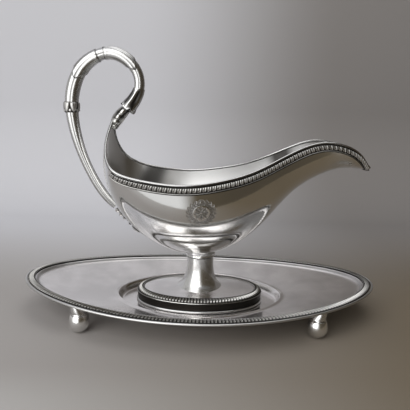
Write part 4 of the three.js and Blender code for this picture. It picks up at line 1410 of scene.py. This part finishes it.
def share_setting(name, description, default, low=0.0, high=1.0):
    """A plain number between two limits."""
    return FloatProperty(
        name=name,
        description=description,
        default=default,
        min=low,
        max=high,
        subtype="FACTOR",
    )


def length_setting(name, description, default, low, high):
    """A length, whose default and limits are given here in millimetres."""
    return FloatProperty(
        name=name,
        description=description,
        default=default * MM,
        min=low * MM,
        max=high * MM,
        unit="LENGTH",
        precision=5,
    )


def power_setting(name, description, default):
    """The power of a lamp."""
    return FloatProperty(
        name=name,
        description=description,
        default=default,
        min=0,
        subtype="POWER",
        unit="POWER",
    )


class SauceBoatFinish(bpy.types.PropertyGroup):
    """Colours and gloss of the silver."""

    polished_colour: colour_setting(
        "Polished silver",
        "Colour of the polished bowl, stem, handle and balls",
        (0.87, 0.868, 0.855),
    )
    worn_colour: colour_setting(
        "Worn silver", "Colour of the satin tray and foot plate", (0.91, 0.885, 0.875)
    )
    chased_colour: colour_setting(
        "Chased silver", "Colour on the heights of the leaf work", (0.83, 0.82, 0.79)
    )
    # Colour of the tarnish in the hollows, also used for painted shade and painted dark
    # reflections.
    tarnish_and_shade_colour: colour_setting(
        "Tarnish", "Colour that collects in the hollows", (0.03, 0.027, 0.024)
    )
    engraved_colour: colour_setting(
        "Engraved line", "Colour in the cut lines of the wreath", (0.2, 0.193, 0.185)
    )
    polished_roughness: share_setting(
        "Polished roughness", "How blurred the reflections in the polished parts are", 0.07
    )
    worn_roughness: share_setting(
        "Worn roughness", "How blurred the reflections in the tray are", 0.16
    )
    chased_roughness: share_setting(
        "Chased roughness", "How blurred the reflections in the leaf work are", 0.2
    )


class SauceBoatOrnament(bpy.types.PropertyGroup):
    """Sizes of the leaf work and the engraving."""

    leaf_pitch: length_setting(
        "Leaf pitch", "Distance between leaf tips below the rim", 3.3, 1, 8
    )
    border_pitch: length_setting(
        "Border pitch", "Distance between leaf tips on the stand and the foot", 2.4, 1, 8
    )
    wreath_width: length_setting("Wreath width", "Width of the engraved wreath", 19.5, 5, 30)
    wreath_height: length_setting("Wreath height", "Height of the engraved wreath", 18.5, 5, 30)
    wreath_along: share_setting(
        "Wreath place along", "Place of the wreath from the back at 0 to the lip at 1", 0.45
    )
    wreath_down: share_setting(
        "Wreath place down",
        "Place of the wreath from the near rim at -1 to the keel at 0",
        -0.795,
        -1.0,
        0.0,
    )
    engraved_line: length_setting("Line width", "Width of an engraved line", 0.21, 0.05, 1)
    engraved_depth: length_setting("Line depth", "Depth of an engraved line", 0.16, 0, 0.5)


class SauceBoatStage(bpy.types.PropertyGroup):
    """The floor, the lights and the camera."""

    floor_colour: colour_setting(
        "Floor", "Colour of the floor at the left", (0.35, 0.332, 0.32)
    )
    backdrop_colour: colour_setting(
        "Backdrop", "Colour of the backdrop at the left", (0.615, 0.615, 0.64)
    )
    # Painted light: the floor near the front edge is paler, a painted pool of window light.
    lit_front_floor_colour: colour_setting(
        "Floor at the front",
        "Colour of the floor near the table's front edge",
        (0.46, 0.45, 0.44),
    )
    # Painted shade: the floor at the right is darker.
    shaded_floor_colour: colour_setting(
        "Floor at the right", "Colour of the floor at the right", (0.155, 0.125, 0.085)
    )
    # Painted shade: the backdrop at the right is darker.
    shaded_backdrop_colour: colour_setting(
        "Backdrop at the right", "Colour of the backdrop at the right", (0.25, 0.235, 0.225)
    )
    key_power: power_setting(
        "Key light", "Power of the tall window light at the front left", 10.0
    )
    fill_power: power_setting("Fill light", "Power of the soft light overhead", 3.0)
    world_strength: FloatProperty(
        name="Room light",
        description="Strength of the light of the room",
        default=1.0,
        min=0,
        max=4,
    )
    camera_lens: FloatProperty(
        name="Lens",
        description="Focal length of the camera",
        default=41.27,
        min=10,
        max=200,
        unit="CAMERA",
    )
    backdrop_steps: IntProperty(
        name="Backdrop steps",
        description="Rows of faces in the backdrop's sweep",
        default=32,
        min=4,
        max=200,
    )


# Operators


class SAUCEBOAT_OT_stand_tray(bpy.types.Operator):
    """Build the satin tray of the stand and the round wire on its edge"""

    bl_idname = "sauceboat.stand_tray"
    bl_label = "Stand Tray"

    def execute(self, context):
        place("tray", stand_tray(), "stand", ["stand_tray"], "worn_silver")
        wire = stand_rim_wire()
        place("tray_edge_wire", wire, "stand", ["stand_rim_wire"], "polished_silver")
        return {"FINISHED"}


class SAUCEBOAT_OT_stand_border(bpy.types.Operator):
    """Build the leaf-tip border of the stand"""

    bl_idname = "sauceboat.stand_border"
    bl_label = "Stand Border"

    def execute(self, context):
        band = stand_leaf_band()
        place("tray_leaf_tips", band, "stand", ["stand_leaf_band"], "chased_silver")
        return {"FINISHED"}


class SAUCEBOAT_OT_ball_feet(bpy.types.Operator):
    """Build the four ball feet and their necks"""

    bl_idname = "sauceboat.ball_feet"
    bl_label = "Ball Feet"

    def execute(self, context):
        for label, across, deep in (
            ("front_left", -1, -1),
            ("front_right", 1, -1),
            ("back_left", -1, 1),
            ("back_right", 1, 1),
        ):
            for kind, make in (("foot", ball_foot), ("neck", ball_neck)):
                shape = make(across * BALL_X, deep * BALL_Y)
                nodes = [f"ball_{kind}_{label}"]
                place(f"round_{kind}_{label}", shape, "stand", nodes, "polished_silver")
        return {"FINISHED"}


class SAUCEBOAT_OT_pedestal(bpy.types.Operator):
    """Build the oval foot, its leaf moulding, the stem and its collar"""

    bl_idname = "sauceboat.pedestal"
    bl_label = "Pedestal Foot"

    def execute(self, context):
        for name, make, node, slot, finish in (
            ("foot_edge_wire", foot_wire, "foot_wire", "polished_silver", None),
            # The foot's wall takes the chased finish, whose full tarnish colour paints it
            # nearly black: tarnish and a painted dark reflection.
            ("foot_wall", foot_band, "foot_band", "polished_silver", "chased"),
            ("foot_leaf_tips", foot_leaf_moulding, "foot_leaf_moulding", "chased_silver", None),
            ("foot_top", foot_plate, "foot_plate", "worn_silver", None),
            ("trumpet_stem", stem, "stem", "polished_silver", None),
            ("stem_ring", stem_collar, "stem_collar", "polished_silver", None),
        ):
            place(name, make(), "sauce_boat", [node], slot, finish)
        return {"FINISHED"}


class SAUCEBOAT_OT_bowl(bpy.types.Operator):
    """Build the wall of the bowl with the engraved wreath on its near side"""

    bl_idname = "sauceboat.bowl"
    bl_label = "Bowl"

    def execute(self, context):
        place("bowl_wall", bowl(), "sauce_boat", ["bowl"], "polished_silver")
        return {"FINISHED"}


class SAUCEBOAT_OT_rim(bpy.types.Operator):
    """Build the leaf-tip strips and the wires on both sides of the rim"""

    bl_idname = "sauceboat.rim"
    bl_label = "Rim Mouldings"

    def execute(self, context):
        for label, side in (("near", -1), ("far", 1)):
            for name, make, node, slot in (
                ("rim_leaf_tips", rim_leaf_strip, "rim_leaf_strip", "chased_silver"),
                ("rim_round_wire", rim_wire, "rim_wire", "polished_silver"),
            ):
                nodes = [f"{node}_{label}"]
                place(f"{name}_{label}", make(side), "sauce_boat", nodes, slot)
        return {"FINISHED"}


class SAUCEBOAT_OT_handle(bpy.types.Operator):
    """Build the reeded handle with its leaf sheaths, its tie and its petalled mouth"""

    bl_idname = "sauceboat.handle"
    bl_label = "Handle"

    def execute(self, context):
        gap = SEAM / 2 / handle_length()
        upper = handle_reeds(REEDS_START, BAND_PLACE - gap, 220)
        lower = handle_reeds(BAND_PLACE + gap, REEDS_END, 150)
        inner = handle_sheath(3.1, 4.3, -1)
        outer = handle_sheath(4.55, 5.55, 1)
        for name, shape, node, slot, finish in (
            ("reeds_upper", upper, "handle_reeds_upper", "polished_silver", None),
            ("reeds_lower", lower, "handle_reeds_lower", "polished_silver", None),
            ("reed_tie", handle_band(), "handle_band", "chased_silver", None),
            ("leaf_sheath_inner", inner, "handle_sheath_inner", "polished_silver", None),
            ("leaf_sheath_outer", outer, "handle_sheath_outer", "polished_silver", None),
            ("petal_mouth", handle_calyx(), "handle_calyx", "chased_silver", "polished"),
        ):
            place(name, shape, "sauce_boat", [node], slot, finish)
        return {"FINISHED"}


class SAUCEBOAT_OT_leaves(bpy.types.Operator):
    """Build the leaf and berries at the peak of the back and the pendant below"""

    bl_idname = "sauceboat.leaves"
    bl_label = "Peak Leaf and Pendant"

    def execute(self, context):
        place("acanthus_leaf", peak_leaf(), "sauce_boat", ["peak_leaf"], "chased_silver")
        place("keel_pendant", root_pendant(), "sauce_boat", ["root_pendant"], "chased_silver")
        return {"FINISHED"}


def soft_light(name, where, size, energy):
    """A large rectangular light that faces the object."""
    light = bpy.data.lights.new(name, "AREA")
    light.shape = "RECTANGLE"
    light.size, light.size_y = size
    light.energy = energy
    away = Vector(where) - Vector(LIGHT_AIM)
    turned = away.to_track_quat("Z", "Y").to_matrix().to_4x4()
    fresh_object(name, light).matrix_world = Matrix.Translation(where) @ turned


def backdrop(steps):
    """A sheet of paper that hangs over a table's front edge, lies on the table and sweeps
    up into a wall through a quarter circle."""
    turn = np.linspace(0, math.pi / 2, steps)
    c, s = np.cos(turn), np.sin(turn)
    fold_y = PAPER_FRONT + PAPER_FOLD * (1 - c[::4])
    sweep_y = SWEEP_START + SWEEP_RADIUS * s
    y = np.concatenate([[PAPER_FRONT], fold_y, sweep_y, [SWEEP_START + SWEEP_RADIUS]])
    fold_z = PAPER_FOLD * (s[::4] - 1)
    z = np.concatenate([[PAPER_END], fold_z, SWEEP_RADIUS * (1 - c), [WALL_HEIGHT]])
    x = np.linspace(-PAPER_REACH, PAPER_REACH, 9)
    points = stacked(x[None, :], y[:, None], z[:, None] - PAPER_DROP).reshape(-1, 3)
    faces = grid_faces(len(y), len(x), False, False)
    mesh = bpy.data.meshes.new("stage_sweep")
    mesh.from_pydata(points.tolist(), [], faces.tolist())
    mesh.update()
    mesh.polygons.foreach_set("use_smooth", np.ones(len(faces), bool))
    return mesh


def stage_paper(settings):
    """Matt paper, warmer and darker on the floor and towards the right. The darkening
    towards the right is painted shade, and the paler strip near the front edge is a painted
    pool of window light.
    """
    material = named_material("stage_paper")
    paint = Paint(material)
    across, deep, height = paint.axes("Object")
    front = paint.band(0.0 - deep, 0.09, 0.145)
    right = paint.band(across, -0.13, 0.23)
    near_right = paint.band(across - deep * 0.4, -0.13, 0.23)
    risen = paint.band(height + deep * 0.5, 0.0, 0.15)
    # These colours paint light and shade: a paler front strip, and a darker floor and backdrop
    # at the right.
    floor = paint.mix(front, settings.floor_colour, settings.lit_front_floor_colour)
    floor = paint.mix(near_right, floor, settings.shaded_floor_colour)
    wall = paint.mix(right, settings.backdrop_colour, settings.shaded_backdrop_colour)
    values = {
        "Base Color": paint.mix(risen, floor, wall),
        "Roughness": 0.9,
        "Specular IOR Level": 0.1,
        "Normal": paint.bump(paint.noise(1.5, 4, 0.6), 0.05),
    }
    paint.show("ShaderNodeBsdfPrincipled", values)
    return material


class SAUCEBOAT_OT_stage(bpy.types.Operator):
    """Build the floor and backdrop, the soft lights, the room light and the camera"""

    bl_idname = "sauceboat.stage"
    bl_label = "Stage"

    def execute(self, context):
        settings = context.scene.sauce_boat_stage
        sweep = fresh_object("stage_sweep", backdrop(settings.backdrop_steps))
        sweep.data.materials.append(stage_paper(settings))
        soft_light("window", WINDOW_PLACE, WINDOW_SIZE, settings.key_power)
        soft_light("top_light", TOP_LIGHT_PLACE, TOP_LIGHT_SIZE, settings.fill_power)
        self.light_room(context, settings.world_strength)
        self.add_camera(context, settings.camera_lens)
        context.scene.view_settings.view_transform = "Standard"
        return {"FINISHED"}

    def light_room(self, context, strength):
        """A room that is pale at the left and brown dusk at the right, with a grey
        ceiling that follows it. The window hangs in front of its pale side."""
        world = context.scene.world or bpy.data.worlds.new("room")
        context.scene.world = world
        paint = Paint(world)
        across, deep, height = paint.axes("Generated")
        near = paint.band(0.0 - deep, 0.1, 0.8)
        pale = paint.mix(near, ROOM_PALE, ROOM_PALE_NEAR)
        dusk = paint.mix(paint.band(across, 0.1, 0.8), ROOM_DUSK, ROOM_DUSK_FAR)
        tone = paint.mix(paint.band(across, -0.1, 0.24), pale, dusk)
        ceiling = paint.mix(paint.band(across, -0.5, 0.5), CEILING_LEFT, CEILING_RIGHT)
        tone = paint.mix(paint.band(height, 0.6, 0.85), tone, ceiling)
        values = {"Color": tone, "Strength": strength}
        paint.show("ShaderNodeBackground", values, "ShaderNodeOutputWorld")

    def add_camera(self, context, lens):
        """The camera looks along +Y, turned, tipped down and rolled by its degrees."""
        azimuth, pitch, roll = (math.radians(a) for a in CAMERA_DEGREES)
        level = math.cos(pitch)
        back = Vector((math.sin(azimuth) * level, -math.cos(azimuth) * level, math.sin(pitch)))
        right = Vector((math.cos(azimuth), math.sin(azimuth), 0))
        up = back.cross(right)
        across = math.cos(roll) * right + math.sin(roll) * up
        upright = math.cos(roll) * up - math.sin(roll) * right
        turned = Matrix((across, upright, back)).transposed().to_4x4()
        camera = fresh_object("camera", bpy.data.cameras.new("camera"))
        camera.data.sensor_width = 36
        camera.data.lens = lens
        camera.data.clip_start = 0.01
        camera.matrix_world = Matrix.Translation(CAMERA_PLACE) @ turned
        context.scene.camera = camera


PIECES = (
    SAUCEBOAT_OT_stand_tray,
    SAUCEBOAT_OT_stand_border,
    SAUCEBOAT_OT_ball_feet,
    SAUCEBOAT_OT_pedestal,
    SAUCEBOAT_OT_bowl,
    SAUCEBOAT_OT_rim,
    SAUCEBOAT_OT_handle,
    SAUCEBOAT_OT_leaves,
    SAUCEBOAT_OT_stage,
)


class SAUCEBOAT_PT_panel(bpy.types.Panel):
    """Sauce boat tools"""

    bl_idname = "SAUCEBOAT_PT_panel"
    bl_label = "Sauce Boat"
    bl_space_type = "VIEW_3D"
    bl_region_type = "UI"
    bl_category = "Sauce Boat"

    def draw(self, context):
        layout = self.layout
        for operator in PIECES:
            layout.operator(operator.bl_idname)
        for group in GROUPS:
            settings = getattr(context.scene, group)
            box = layout.box()
            for name in settings.bl_rna.properties.keys():
                if name not in ("rna_type", "name"):
                    box.prop(settings, name)


GROUPS = {
    "sauce_boat_finish": SauceBoatFinish,
    "sauce_boat_ornament": SauceBoatOrnament,
    "sauce_boat_stage": SauceBoatStage,
}


def register():
    for cls in (*GROUPS.values(), *PIECES, SAUCEBOAT_PT_panel):
        bpy.utils.register_class(cls)
    for name, group in GROUPS.items():
        setattr(bpy.types.Scene, name, PointerProperty(type=group))


def unregister():
    for name in GROUPS:
        delattr(bpy.types.Scene, name)
    for cls in (SAUCEBOAT_PT_panel, *reversed(PIECES), *GROUPS.values()):
        bpy.utils.unregister_class(cls)


def main():
    register()
    bpy.ops.sauceboat.stage()
    bpy.ops.sauceboat.stand_tray()
    bpy.ops.sauceboat.stand_border()
    bpy.ops.sauceboat.ball_feet()
    bpy.ops.sauceboat.pedestal()
    bpy.ops.sauceboat.bowl()
    bpy.ops.sauceboat.rim()
    bpy.ops.sauceboat.handle()
    bpy.ops.sauceboat.leaves()


if __name__ == "__main__":
    main()
